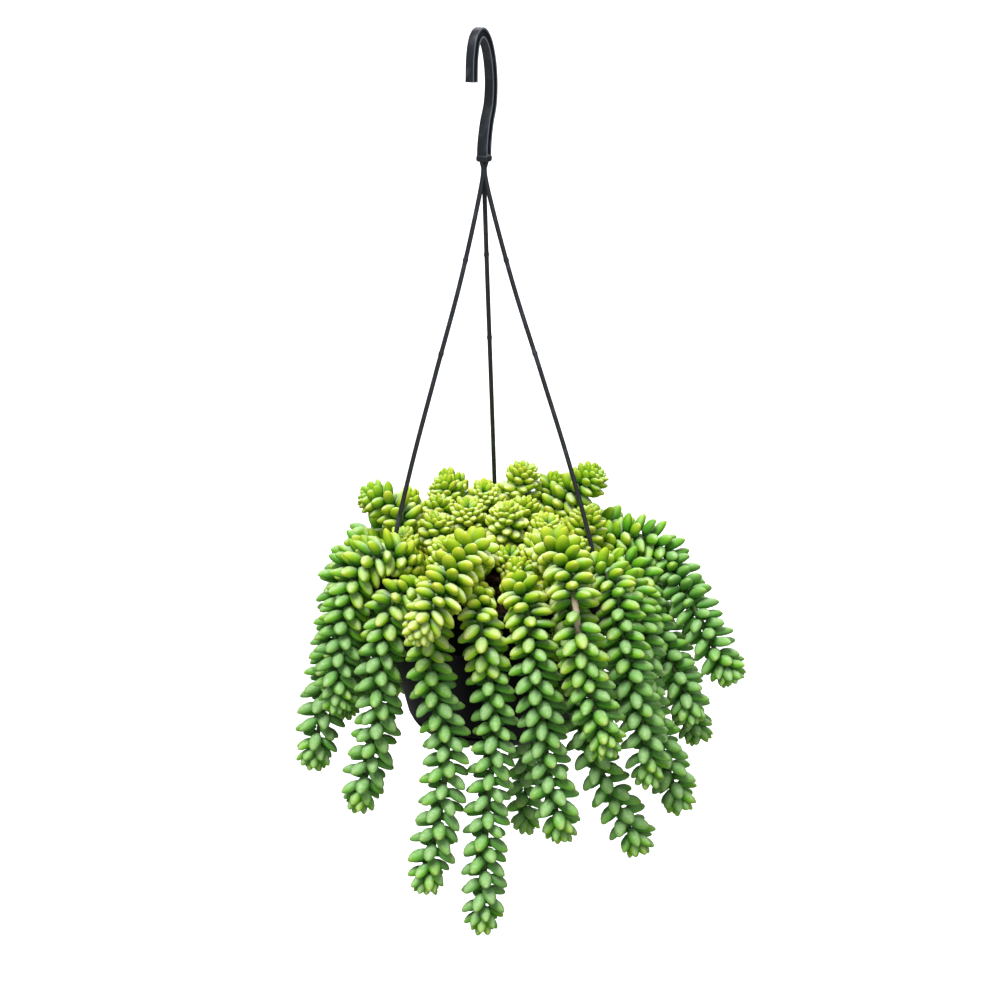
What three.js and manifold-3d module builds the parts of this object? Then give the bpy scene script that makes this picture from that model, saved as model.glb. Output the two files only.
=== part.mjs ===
// A burro's tail, a trailing stonecrop, growing in a black hanging pot with a moulded three-strand hanger.
// Millimetres, +Z up. The origin is the seat inside the hook, where the whole weight hangs.
// Everything is laid out from the middle of the pot's rim, and one group then hangs it from the hook.
import * as THREE from 'three';
import { mergeVertices } from 'three/addons/utils/BufferGeometryUtils.js';
import Module from 'manifold-3d';

const wasm = await Module();
wasm.setup();

// ---- driving dimensions -------------------------------------------------------------------------
const GAP = 0.3; // between pieces that touch on the real thing
const ROUND = Math.PI * 2;
const UP = new THREE.Vector3(0, 0, 1);

const RIM_RADIUS = 79; // flange round the pot's mouth
const RIM_THICKNESS = 1.6;
const WALL = 1.5;
const MOUTH_RADIUS = 70;
const COLLAR_RADIUS = 71.5; // the upright band under the flange
const COLLAR_FOOT_RADIUS = 70.6;
const COLLAR_BOTTOM = -29;
const CONE_TOP_RADIUS = 69.2;
const CONE_BOTTOM_RADIUS = 53.9;
const CONE_BOTTOM = -88;
const FOOT_RADIUS = 48.5;
const FOOT_BOTTOM = -94;
const POT_SIDES = 32;
const DRAIN_RADIUS = 1.7;
const DRAIN_COUNT = 6;
const DRAIN_CIRCLE = 34;

const SAUCER_FLOOR = 1.7;
const SAUCER_RIM_RADIUS = 52.8;
const SAUCER_RIM = -89.3;

const SOIL_EDGE = -6;
const SOIL_MIDDLE = -1;
const SOIL_SHOULDER = 59;
const SOIL_RADIUS = 69.3;

const STRAND_RADIUS = 1.4;
const STRAND_CIRCLE = 75; // where the strands pass through the flange
const STRAND_ANGLES = [210, 331.5, 88.5];
const STRAND_HOLE_RADIUS = 2.15;
const KNOB_RADIUS = 2.8;
const KNOB_DEPTH = 4.2;
const SPLIT_HEIGHT = 242; // the three strands part here
const BUNDLE_RADIUS = 1.6; // how far the strands lie from their common axis above that
const HOOK_BASE = 257.5;
const HOOK_SIDE = -5; // the hanger's axis lies a little to one side of the pot's
const HOOK_TURN = Math.atan2(-0.89, -0.46); // plan direction from the shank to the hook's tip
const HOOK_WIDTH = 6.8;
const HOOK_DEPTH = 6.2;
const HOOK_FLANGE = 1.25;
const HOOK_WEB = 2.6;
const NECK_HEIGHT = 3.8; // the collar where the strands run into the hook
const TIP_CAP = 1.4; // the plate that closes the hook's tip
const SEAT = new THREE.Vector3(-7, -4, 329);

const LEAF_COLUMNS = 5; // leaves in a row round a stem
const BARE_RADIUS = 2.6; // a stem below its leaves
const HOLE_RADIUS = BARE_RADIUS + 0.9; // six-sided holes in the soil that the stems stand in
const SUNK = 14; // how far a stem goes straight down from its first leaves, most of it in its hole
const FIRST_LEAF = 3.5; // height of a stem's first leaves over the soil
const VALLEY = 0.56; // depth of the creases between leaves, as a share of the leaves' reach
const TAIL_ROW = 10.8; // spacing of the rows of leaves on a tail
const CROWN_ROW = 10;
const STEM_GAP = 1.2; // kept between the leaves of neighbouring stems

// ---- closed meshes and booleans -----------------------------------------------------------------

// Six times the volume that a triangle mesh encloses.
function signedVolume(geometry) {
  const at = geometry.attributes.position;
  const index = geometry.index;
  const corner = [new THREE.Vector3(), new THREE.Vector3(), new THREE.Vector3()];
  let volume = 0;
  for (let i = 0; i < index.count; i += 3) {
    corner.forEach((c, k) => c.fromBufferAttribute(at, index.getX(i + k)));
    volume += corner[0].dot(corner[1].clone().cross(corner[2]));
  }
  return volume;
}

// Keeps positions only, joins the vertices that seams and poles repeat, drops the triangles that
// collapse there, and turns the faces outwards.
function closed(geometry) {
  const bare = geometry.clone();
  for (const name of Object.keys(bare.attributes)) {
    if (name !== 'position') bare.deleteAttribute(name);
  }
  const joined = mergeVertices(bare, 1e-3);
  const old = joined.index;
  const kept = [];
  for (let i = 0; i < old.count; i += 3) {
    const [a, b, c] = [old.getX(i), old.getX(i + 1), old.getX(i + 2)];
    if (a !== b && b !== c && c !== a) kept.push(a, b, c);
  }
  joined.setIndex(kept);
  if (signedVolume(joined) < 0) {
    for (let i = 0; i < kept.length; i += 3) [kept[i + 1], kept[i + 2]] = [kept[i + 2], kept[i + 1]];
    joined.setIndex(kept);
  }
  return joined;
}

function solid(geometry) {
  const mesh = closed(geometry);
  return new wasm.Manifold(new wasm.Mesh({
    numProp: 3,
    vertProperties: new Float32Array(mesh.attributes.position.array),
    triVerts: new Uint32Array(mesh.index.array),
  }));
}

function geometryOf(manifold) {
  const mesh = manifold.getMesh();
  const geometry = new THREE.BufferGeometry();
  geometry.setAttribute('position', new THREE.Float32BufferAttribute(mesh.vertProperties, 3));
  geometry.setIndex(new THREE.Uint32BufferAttribute(mesh.triVerts, 1));
  return geometry;
}

// A ring or bowl turned about Z from [radius, height] points.
function turned(profile) {
  const points = profile.map(([radius, height]) => new THREE.Vector2(radius, height));
  return new THREE.LatheGeometry(points, POT_SIDES).rotateX(Math.PI / 2);
}

// An upright prism between two points.
function rod(from, to, radius, sides, endRadius = radius) {
  const along = to.clone().sub(from);
  const geometry = new THREE.CylinderGeometry(endRadius, radius, along.length(), sides);
  const turn = new THREE.Quaternion().setFromUnitVectors(new THREE.Vector3(0, 1, 0), along.normalize());
  geometry.applyQuaternion(turn);
  const middle = from.clone().add(to).multiplyScalar(0.5);
  return geometry.translate(middle.x, middle.y, middle.z);
}

function onCircle(radius, degrees, height = 0) {
  const angle = THREE.MathUtils.degToRad(degrees);
  return new THREE.Vector3(radius * Math.cos(angle), radius * Math.sin(angle), height);
}

// ---- pot ----------------------------------------------------------------------------------------

function makePot() {
  let pot = solid(turned([
    [0, CONE_BOTTOM],
    [FOOT_RADIUS - WALL, CONE_BOTTOM],
    [FOOT_RADIUS - WALL, FOOT_BOTTOM],
    [FOOT_RADIUS, FOOT_BOTTOM],
    [FOOT_RADIUS, CONE_BOTTOM],
    [CONE_BOTTOM_RADIUS, CONE_BOTTOM],
    [CONE_TOP_RADIUS, COLLAR_BOTTOM],
    [COLLAR_FOOT_RADIUS, COLLAR_BOTTOM],
    [COLLAR_RADIUS, -RIM_THICKNESS],
    [RIM_RADIUS, -RIM_THICKNESS],
    [RIM_RADIUS, 0],
    [MOUTH_RADIUS, 0],
    [COLLAR_FOOT_RADIUS - WALL, COLLAR_BOTTOM + WALL],
    [CONE_TOP_RADIUS - WALL, COLLAR_BOTTOM - WALL],
    [CONE_BOTTOM_RADIUS - WALL, CONE_BOTTOM + WALL],
    [0, CONE_BOTTOM + WALL],
  ]));
  const through = new THREE.Vector3(0, 0, 2 * WALL);
  for (const degrees of STRAND_ANGLES) {
    const eye = onCircle(STRAND_CIRCLE, degrees, -RIM_THICKNESS / 2);
    const cut = rod(eye.clone().sub(through), eye.clone().add(through), STRAND_HOLE_RADIUS, 12);
    pot = pot.subtract(solid(cut));
  }
  for (let i = 0; i < DRAIN_COUNT; i++) {
    const drain = onCircle(DRAIN_CIRCLE, (360 * i) / DRAIN_COUNT, CONE_BOTTOM + WALL / 2);
    const cut = rod(drain.clone().sub(through), drain.clone().add(through), DRAIN_RADIUS, 8);
    pot = pot.subtract(solid(cut));
  }
  return geometryOf(pot);
}

// A shallow drip saucer that is pushed on over the pot's foot.
function makeSaucer() {
  const floor = FOOT_BOTTOM - GAP;
  const inside = FOOT_RADIUS + GAP;
  return turned([
    [0, floor - SAUCER_FLOOR],
    [inside - 1, floor - SAUCER_FLOOR],
    [inside + 1.3, floor - SAUCER_FLOOR + 2],
    [SAUCER_RIM_RADIUS, SAUCER_RIM],
    [SAUCER_RIM_RADIUS - 1.4, SAUCER_RIM],
    [inside, floor + 1.6],
    [inside, floor],
    [0, floor],
  ]);
}

// ---- soil ---------------------------------------------------------------------------------------

// The soil's top, as [radius, height]: nearly level, and lower round the edge to hold water.
const SOIL_RINGS = [[0, SOIL_MIDDLE], [SOIL_SHOULDER, SOIL_MIDDLE], [SOIL_RADIUS, SOIL_EDGE]];

// Height of the soil at a distance from the pot's axis.
function soilTop(radius) {
  for (let i = 1; i < SOIL_RINGS.length; i++) {
    const [r0, z0] = SOIL_RINGS[i - 1];
    const [r1, z1] = SOIL_RINGS[i];
    if (radius <= r1) return z0 + ((z1 - z0) * (radius - r0)) / (r1 - r0);
  }
  return SOIL_EDGE;
}

function makeSoil(stems) {
  const inset = WALL + GAP + 0.1; // the walls lean, so a level inset is a little more than the gap
  let soil = solid(turned([
    [0, CONE_BOTTOM + WALL + GAP],
    [CONE_BOTTOM_RADIUS - inset - 0.1, CONE_BOTTOM + WALL + GAP],
    [CONE_TOP_RADIUS - inset, COLLAR_BOTTOM - WALL],
    [COLLAR_FOOT_RADIUS - inset, COLLAR_BOTTOM + WALL],
    ...SOIL_RINGS.slice().reverse(),
  ]));
  for (const stem of stems) {
    const root = stem.rows[0].at;
    const above = root.clone().addScaledVector(UP, 2);
    const below = root.clone().addScaledVector(UP, -SUNK - GAP);
    soil = soil.subtract(solid(rod(below, above, HOLE_RADIUS, 6)));
  }
  return geometryOf(soil);
}

// ---- hanger: hook, neck and three strands moulded as one ----------------------------------------

// The hook's middle line in its own upright plane, as [towards the tip, height].
const HOOK_LINE = [
  [0, 259], [-0.6, 268], [-3.4, 279.5], [-7.9, 290.5], [-9.2, 303], [-7.4, 316], [-2.6, 327],
  [4.4, 332.1], [11, 328.6], [14.4, 318.5], [15.3, 304.5],
];
const HOOK_STEPS = 26;
const STRAND_STEPS = 9;

// One strand's middle line: from the neck down to the flange, bowed outwards by the plant.
function strandCurve(degrees) {
  const end = onCircle(STRAND_CIRCLE, degrees, 0);
  const top = new THREE.Vector3(HOOK_SIDE, 0, SPLIT_HEIGHT);
  const bow = onCircle(1, degrees);
  const between = (share, out) => top.clone().lerp(end, share).addScaledVector(bow, out);
  const axis = new THREE.Vector3(HOOK_SIDE, 0, 0);
  const bundled = (height) => onCircle(BUNDLE_RADIUS, degrees, height).add(axis);
  const below = end.clone().addScaledVector(UP, -RIM_THICKNESS - GAP - 0.8);
  return new THREE.CatmullRomCurve3([
    bundled(HOOK_BASE + 1),
    bundled(SPLIT_HEIGHT + 3),
    between(0.22, 0.8),
    between(0.45, 2.6),
    between(0.66, 4.0),
    between(0.85, 3.4),
    end,
    below,
  ], false, 'catmullrom', 0.5);
}

function makeHanger() {
  const line = new THREE.CatmullRomCurve3(
    HOOK_LINE.map(([out, height]) => new THREE.Vector3(out, 0, height)),
    false, 'catmullrom', 0.5,
  );
  const half = HOOK_WIDTH / 2;
  const deep = HOOK_DEPTH / 2;
  const lip = deep - HOOK_FLANGE;
  const web = HOOK_WEB / 2;
  // An I section: two faces joined by a thin web, so that each side of the band is grooved.
  const section = new THREE.Shape([
    [-half, -deep], [half, -deep], [half, -lip], [web, -lip], [web, lip], [half, lip],
    [half, deep], [-half, deep], [-half, lip], [-web, lip], [-web, -lip], [-half, -lip],
  ].map(([x, y]) => new THREE.Vector2(x, y)));
  const band = new THREE.ExtrudeGeometry(section, {
    steps: HOOK_STEPS, bevelEnabled: false, extrudePath: line,
  });
  const neck = new THREE.BoxGeometry(HOOK_DEPTH + 0.8, HOOK_WIDTH + 0.8, NECK_HEIGHT);
  neck.translate(0, 0, HOOK_BASE + NECK_HEIGHT / 2);
  const [tipOut, tipHeight] = HOOK_LINE[HOOK_LINE.length - 1];
  const tip = new THREE.BoxGeometry(HOOK_DEPTH, HOOK_WIDTH, TIP_CAP);
  tip.translate(tipOut, 0, tipHeight + TIP_CAP / 2 - 0.1);
  const place = (geometry) => geometry.rotateZ(HOOK_TURN).translate(HOOK_SIDE, 0, 0);
  let hanger = solid(place(band)).add(solid(place(neck))).add(solid(place(tip)));

  const ring = new THREE.Shape();
  for (let i = 0; i < 8; i++) {
    const corner = onCircle(STRAND_RADIUS, 45 * i);
    if (i === 0) ring.moveTo(corner.x, corner.y);
    else ring.lineTo(corner.x, corner.y);
  }
  for (const degrees of STRAND_ANGLES) {
    const curve = strandCurve(degrees);
    const strand = new THREE.ExtrudeGeometry(ring, {
      steps: STRAND_STEPS, bevelEnabled: false, extrudePath: curve,
    });
    hanger = hanger.add(solid(strand));
    const under = onCircle(STRAND_CIRCLE, degrees, -RIM_THICKNESS - GAP);
    const low = under.clone().addScaledVector(UP, -KNOB_DEPTH);
    hanger = hanger.add(solid(rod(low, under, KNOB_RADIUS * 0.6, 8, KNOB_RADIUS)));
  }
  return geometryOf(hanger);
}

// ---- leafy stems: where they run ----------------------------------------------------------------

// Trailing stems. A root is a plan angle in degrees and a distance from the pot's axis, and the way from
// it climbs over the rim and hangs. r is how far the leaves reach from the stem's middle line. A stretch
// of stem that has lost its leaves is bare, from one share of its length to another.
const TAILS = [
  {
    name: 'tail_01', r: 14.5, root: [188, 54],
    way: [[-67, -11, 23], [-86, -16, 14], [-95, -20, -16], [-103, -25, -61], [-114, -28, -117]],
  },
  {
    name: 'tail_02', r: 14, root: [219, 54],
    way: [[-60, -53, 33], [-80, -57, 16], [-92, -56, -30], [-93, -58, -66]],
  },
  {
    name: 'tail_03', r: 13, root: [170, 55],
    way: [[-70, 14, 20], [-88, 15, 6], [-92, 14, -40], [-98, 8, -99]],
  },
  {
    name: 'tail_04', r: 13.5, root: [231, 54],
    way: [[-50, -64, 12], [-67, -69, -25], [-71, -64, -80], [-83, -58, -130]],
  },
  {
    name: 'tail_05', r: 14.5, root: [246, 36],
    way: [[-11, -60, 37], [-23, -88, 28], [-38, -106, 10], [-43, -112, -1]],
  },
  {
    name: 'tail_06', r: 13.5, root: [244, 54],
    way: [
      [-32, -74, 10], [-37, -88, -25], [-29, -88, -65],
      [-27, -88, -88], [-33, -88, -128], [-41, -88, -171],
    ],
  },
  {
    name: 'tail_07', r: 12.8, root: [263, 54],
    way: [
      [-6, -72, 12], [1, -88, -25], [4, -88, -58],
      [-1, -88, -90], [-4, -88, -130], [-6, -88, -197.5],
    ],
  },
  { name: 'tail_08', r: 12.5, root: [80, 54], way: [[18, 76, 18], [23, 92, -25], [22, 84, -214]] },
  {
    name: 'tail_09', r: 14, root: [284, 52],
    way: [[16, -62, 20], [26, -86, -10], [30, -88, -50], [34, -88, -95], [42, -86, -138]],
  },
  {
    name: 'tail_10', r: 14, root: [309, 40], bare: [0.51, 0.575],
    way: [[37, -52, 33], [43, -78, 22], [46, -94, 1], [54, -104, -28], [68, -112, -73]],
  },
  {
    name: 'tail_11', r: 13.5, root: [321, 54],
    way: [[62, -50, 26], [77, -64, 2], [83, -77, -32], [90, -82, -70], [94, -84, -103]],
  },
  {
    name: 'tail_12', r: 13, root: [298, 54],
    way: [[34, -66, 16], [41, -82, -25], [47, -78, -50], [63, -74, -95], [91, -68, -155]],
  },
  {
    name: 'tail_13', r: 14, root: [335, 54],
    way: [[72, -29, 16], [90, -46, -12], [98, -53, -60], [106, -53, -100], [117, -50, -135]],
  },
  {
    name: 'tail_14', r: 13, root: [347, 54],
    way: [
      [72, -18, 18], [87, -35, 2], [95.5, -43, -22],
      [104.5, -46, -46], [114, -46, -66], [120, -44, -81],
    ],
  },
  {
    name: 'tail_15', r: 12.5, root: [16, 54],
    way: [[79, 20, 8], [96, 18, -10], [108, 11, -35], [118, 1, -68], [131, -12, -107]],
  },
  {
    name: 'tail_16', r: 14, root: [3, 50],
    way: [
      [74, 0, 20], [94, -9, 10], [109, -20, -3], [122.5, -28, -16],
      [132.5, -33, -31], [142, -36, -46], [148, -38, -56],
    ],
  },
];

// The tails round the back hang evenly, at plan angles in degrees and to these depths.
const BACK_TAILS = [
  [29, 115], [45, 150], [60, 118], [98, 120], [116, 125], [134, 105], [152, 100],
];
const BACK_REACH = 13;

BACK_TAILS.forEach(([degrees, drop], i) => {
  const stand = (radius, height) => onCircle(radius, degrees, height).toArray();
  TAILS.push({
    name: `tail_${17 + i}`,
    r: BACK_REACH,
    root: [degrees, 54],
    way: [stand(78, 26), stand(95, 0), stand(99, -drop * 0.5), stand(97, -drop)],
  });
});

// Short stems that stand up and lean over the middle of the pot.
const CROWN = [
  { name: 'crown_01', r: 12.5, root: [172, 38], way: [[-46, 7, 28], [-62, 9, 43], [-81, 10, 49]] },
  { name: 'crown_02', r: 12.5, root: [120, 32], way: [[-22, 31, 28], [-35, 33, 50]] },
  { name: 'crown_03', r: 12.5, root: [38, 34], way: [[44, 24, 38], [54, 22, 50], [66, 20, 61]] },
  { name: 'crown_04', r: 12.5, root: [72, 32], way: [[13, 31, 30], [21, 32, 61]] },
  { name: 'crown_05', r: 14, root: [60, 10], way: [[5, 4, 26], [5, -14, 48]] },
  { name: 'crown_06', r: 11, root: [192, 27], way: [[-28, -6, 24], [-30, -12, 42]] },
  { name: 'crown_07', r: 11, root: [150, 13], way: [[-13, 4, 26], [-12, -10, 46]] },
  { name: 'crown_08', r: 12.5, root: [0, 24], way: [[28, -2, 20], [33, -12, 36]] },
  { name: 'crown_09', r: 9, root: [312, 15], way: [[13, -14, 15], [14, -22, 26]] },
  { name: 'crown_10', r: 10, root: [240, 19], way: [[-10, -20, 18], [-10, -30, 30]] },
  { name: 'crown_11', r: 10, root: [297, 32], way: [[21, -36, 14], [29, -46, 21]] },
  { name: 'crown_12', r: 12, root: [84, 43], way: [[6, 49, 24], [16, 58, 42]] },
  { name: 'crown_13', r: 12, root: [58, 38], way: [[30, 41, 26], [45, 52, 46]] },
  { name: 'crown_14', r: 12, root: [111, 42], way: [[-18, 43, 28], [-33, 52, 47]] },
  { name: 'crown_15', r: 11.5, root: [207, 40], way: [[-46, -20, 20], [-58, -28, 34]] },
  { name: 'crown_16', r: 12, root: [141, 42], way: [[-42, 25, 28], [-58, 27, 43]] },
  { name: 'crown_17', r: 12, root: [350, 38], way: [[44, -7, 26], [57, -10, 45]] },
  { name: 'crown_18', r: 12, root: [105, 22], way: [[-8, 18, 28], [-6, 10, 52]] },
  { name: 'crown_19', r: 11, root: [57, 20], way: [[14, 17, 24], [17, 16, 44]] },
  { name: 'crown_20', r: 10.5, root: [225, 33], way: [[-27, -30, 18], [-28, -37, 32]] },
  { name: 'crown_21', r: 10.5, root: [330, 28], way: [[29, -20, 18], [36, -26, 32]] },
  { name: 'crown_22', r: 10.5, root: [165, 26], way: [[-27, 9, 26], [-30, 10, 46]] },
  { name: 'crown_23', r: 10.5, root: [98, 31], way: [[-6, 34, 26], [-8, 38, 42]] },
  { name: 'crown_24', r: 10.5, root: [332, 44], way: [[44, -26, 20], [50, -31, 34]] },
  { name: 'crown_25', r: 10.5, root: [5, 36], way: [[40, 6, 22], [46, 10, 36]] },
];

const SETTLE_STEP = 9; // spacing of the points that are moved apart
const SETTLE_ROUNDS = 90;
const SETTLE_EASE = 0.45;
const ROOT_LIMIT = 55;
const YIELD = new THREE.Vector3(0.65, 1, 0.6); // how readily stems give way in x, y and z
const BEND_DEPTH = 1.6; // how far a point may stand off the chord between its neighbours
const STIFFNESS = 0.5;

// A smooth line through hand-placed points, as points a given length apart.
function evenPoints(points, spacing) {
  const curve = new THREE.CatmullRomCurve3(points, false, 'catmullrom', 0.5);
  const fine = curve.getPoints(24 * (points.length - 1));
  const reach = [0];
  for (let i = 1; i < fine.length; i++) reach.push(reach[i - 1] + fine[i].distanceTo(fine[i - 1]));
  const total = reach[reach.length - 1];
  const count = Math.max(3, Math.round(total / spacing));
  const out = [];
  let k = 1;
  for (let i = 0; i <= count; i++) {
    const want = (total * i) / count;
    while (k < fine.length - 1 && reach[k] < want) k++;
    const share = (want - reach[k - 1]) / (reach[k] - reach[k - 1]);
    out.push(fine[k - 1].clone().lerp(fine[k], share));
  }
  return { points: out, length: total };
}

const ROOT_REACH = 4.4; // reach of the lowest leaves
const ROOT_FLARE = 0.27; // growth of the reach with each millimetre up from them
const TIP_DOME = 1.3; // length of the domed tip, in reaches
const TIP_REACH = 0.42; // reach at the very tip, as a share

// How far the leaves reach at a place along a stem: slender at the root, domed at the tip.
function reachAt(r, s, length) {
  const root = ROOT_REACH + ROOT_FLARE * s;
  const left = Math.min(1, Math.max(0, (length - s) / (TIP_DOME * r)));
  const dome = TIP_REACH + (1 - TIP_REACH) * Math.sqrt(1 - (1 - left) * (1 - left));
  return Math.min(r, root, r * dome);
}

// Outline of the filled pot and its saucer, as [radius, height] from the middle of the soil outwards
// and down to the middle of the saucer's underside.
const POT_OUTLINE = [
  ...SOIL_RINGS, [MOUTH_RADIUS, 0], [RIM_RADIUS, 0], [RIM_RADIUS, -RIM_THICKNESS - 5],
  [COLLAR_RADIUS, -RIM_THICKNESS - 5.5], [COLLAR_FOOT_RADIUS, COLLAR_BOTTOM],
  [CONE_TOP_RADIUS, COLLAR_BOTTOM],
  [CONE_BOTTOM_RADIUS, CONE_BOTTOM], [SAUCER_RIM_RADIUS, SAUCER_RIM],
  [FOOT_RADIUS, FOOT_BOTTOM - GAP - SAUCER_FLOOR], [0, FOOT_BOTTOM - GAP - SAUCER_FLOOR],
];

// Distance of a point from the filled pot, and the way out from it.
function potClearance(point) {
  const radius = Math.hypot(point.x, point.y);
  let best = Infinity;
  let [outward, upward] = [0, 1];
  for (let i = 1; i < POT_OUTLINE.length; i++) {
    const [r0, z0] = POT_OUTLINE[i - 1];
    const [dr, dz] = [POT_OUTLINE[i][0] - r0, POT_OUTLINE[i][1] - z0];
    const share = ((radius - r0) * dr + (point.z - z0) * dz) / (dr * dr + dz * dz);
    const t = Math.min(1, Math.max(0, share));
    const [er, ez] = [radius - r0 - t * dr, point.z - z0 - t * dz];
    const distance = Math.hypot(er, ez);
    if (distance < best) {
      best = distance;
      [outward, upward] = [er / distance, ez / distance];
    }
  }
  const across = new THREE.Vector3(point.x, point.y, 0).multiplyScalar(outward / Math.max(radius, 1e-6));
  return { distance: best, away: across.setZ(upward) };
}

// A root slides over the soil only, and stays clear of the pot's wall.
function shiftRoot(root, move) {
  root.x += move.x;
  root.y += move.y;
  const out = Math.hypot(root.x, root.y);
  const shrink = Math.min(1, ROOT_LIMIT / out);
  root.x *= shrink;
  root.y *= shrink;
}

// Straightens a stem where it bends too tightly for its leaves: such a point moves towards the chord
// between its neighbours.
function straighten(points) {
  const pulls = points.map((at, i) => {
    if (i === 0 || i === points.length - 1) return new THREE.Vector3();
    const pull = points[i - 1].clone().add(points[i + 1]).multiplyScalar(0.5).sub(at);
    return pull.setLength(STIFFNESS * Math.max(0, pull.length() - BEND_DEPTH));
  });
  points.forEach((at, i) => at.add(pulls[i]));
}

// Moves the stems' lines apart, and off the pot and the strands, until their leaves have room. Each
// move is shared with the points above and below.
function settle(stems, fixed) {
  const chains = [...stems, ...fixed];
  const flat = [];
  chains.forEach((chain, owner) => chain.points.forEach((at, i) => {
    flat.push({ owner, i, at, want: chain.wants[i], move: new THREE.Vector3() });
  }));
  for (let round = 0; round < SETTLE_ROUNDS; round++) {
    for (const p of flat) p.move.set(0, 0, 0);
    for (let a = 0; a < flat.length; a++) {
      const p = flat[a];
      for (let b = a + 1; b < flat.length; b++) {
        const q = flat[b];
        if (p.owner === q.owner) continue;
        const need = p.want + q.want + STEM_GAP;
        const [dx, dy, dz] = [p.at.x - q.at.x, p.at.y - q.at.y, p.at.z - q.at.z];
        const square = dx * dx + dy * dy + dz * dz;
        if (square >= need * need) continue;
        const distance = Math.sqrt(square) + 1e-6;
        const push = (SETTLE_EASE * (need - distance)) / distance;
        p.move.x += dx * push;
        p.move.y += dy * push;
        p.move.z += dz * push;
        q.move.x -= dx * push;
        q.move.y -= dy * push;
        q.move.z -= dz * push;
      }
    }
    let start = 0;
    for (const stem of stems) {
      const own = flat.slice(start, start + stem.points.length);
      start += stem.points.length;
      for (const p of own) {
        p.move.multiply(YIELD).clampLength(0, 3);
        const { distance, away } = potClearance(p.at);
        const short = p.want + STEM_GAP - distance;
        if (short > 0) p.move.addScaledVector(away, 0.8 * short);
      }
      own[0].move.z = 0;
      const smooth = own.map((p, i) => {
        const before = own[Math.max(0, i - 1)].move;
        const after = own[Math.min(own.length - 1, i + 1)].move;
        return p.move.clone().multiplyScalar(2).add(before).add(after).multiplyScalar(0.25);
      });
      own.forEach((p, i) => {
        if (i > 0) p.at.add(smooth[i]);
        else shiftRoot(p.at, smooth[0]);
      });
      straighten(stem.points);
    }
  }
}

// The nearest that another chain comes to a point, with how much room its leaves want there.
function nearestOn(chain, point) {
  let best = { distance: Infinity, want: 0 };
  for (let i = 1; i < chain.points.length; i++) {
    const from = chain.points[i - 1];
    const along = chain.points[i].clone().sub(from);
    const t = Math.min(1, Math.max(0, point.clone().sub(from).dot(along) / along.lengthSq()));
    const distance = from.clone().addScaledVector(along, t).distanceTo(point);
    if (distance < best.distance) {
      best = { distance, want: chain.wants[i - 1] + t * (chain.wants[i] - chain.wants[i - 1]) };
    }
  }
  return best;
}

const ROOM_SAMPLES = 4; // places between two rows where the room is measured
const BEND_ROOM = 0.85; // leaves on the inside of a bend reach this share of the way to its middle

// How far leaves may reach from a row where the stem bends, before they would cut through the next row's.
function bendRoom(row, next) {
  const turn = row.along.angleTo(next.along);
  return (BEND_ROOM * row.at.distanceTo(next.at)) / (2 * Math.sin(turn / 2) + 1e-6);
}

// Gives each row of a stem the reach that fits between its neighbours, the pot and the strands.
function findRoom(stem, stems, fixed) {
  const rows = stem.rows;
  const room = [];
  for (let k = 0; k <= (rows.length - 1) * ROOM_SAMPLES; k++) {
    const i = Math.min(rows.length - 2, Math.floor(k / ROOM_SAMPLES));
    const share = k / ROOM_SAMPLES - i;
    const at = rows[i].at.clone().lerp(rows[i + 1].at, share);
    const want = rows[i].reach + share * (rows[i + 1].reach - rows[i].reach);
    let reach = Math.min(want, potClearance(at).distance - STEM_GAP * 0.6);
    for (const other of stems) {
      if (other === stem) continue;
      const near = nearestOn(other, at);
      reach = Math.min(reach, ((near.distance - STEM_GAP) * want) / (want + near.want));
    }
    for (const strand of fixed) {
      reach = Math.min(reach, nearestOn(strand, at).distance - STRAND_RADIUS - STEM_GAP * 0.6);
    }
    room.push(reach / want);
  }
  return rows.map((row, i) => {
    const near = room.slice(Math.max(0, (i - 1) * ROOM_SAMPLES), (i + 1) * ROOM_SAMPLES + 1);
    const before = i > 0 ? bendRoom(rows[i - 1], row) : Infinity;
    const after = i < rows.length - 1 ? bendRoom(row, rows[i + 1]) : Infinity;
    return Math.max(BARE_RADIUS, Math.min(before, after, row.reach * Math.min(...near)));
  });
}

// Rows of leaves along a settled line. Each row has its place, its direction and two cross directions
// that turn no more than the line does.
function layRows(points, spacing, r) {
  const { points: even, length } = evenPoints(points, spacing);
  const rows = [];
  let across = null;
  even.forEach((at, i) => {
    const before = even[Math.max(0, i - 1)];
    const after = even[Math.min(even.length - 1, i + 1)];
    const along = after.clone().sub(before).normalize();
    if (!across) across = UP.clone().cross(along);
    if (across.lengthSq() < 1e-3) across.set(1, 0, 0);
    across = across.clone().addScaledVector(along, -across.dot(along)).normalize();
    const reach = reachAt(r, (length * i) / (even.length - 1), length);
    rows.push({ at, along, across, beside: along.clone().cross(across), reach });
  });
  return rows;
}

const strands = STRAND_ANGLES.map((degrees) => {
  const { points } = evenPoints(strandCurve(degrees).points, SETTLE_STEP);
  return { points, wants: points.map(() => STRAND_RADIUS + 0.4) };
});

function growStems(plans, rowSpacing) {
  return plans.map(({ name, r, root: [degrees, out], way, bare }) => {
    const root = onCircle(out, degrees, soilTop(out) + FIRST_LEAF);
    const hand = [root, ...way.map((place) => new THREE.Vector3(...place))];
    const { points, length } = evenPoints(hand, SETTLE_STEP);
    const wants = points.map((_, i) => reachAt(r, (length * i) / (points.length - 1), length));
    return { name, r, bare, rowSpacing, points, wants };
  });
}

const stems = [...growStems(TAILS, TAIL_ROW), ...growStems(CROWN, CROWN_ROW)];
settle(stems, strands);
for (const stem of stems) stem.rows = layRows(stem.points, stem.rowSpacing, stem.r);
for (const stem of stems) stem.room = findRoom(stem, stems, strands);

// ---- leafy stems: their solids ------------------------------------------------------------------

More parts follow.
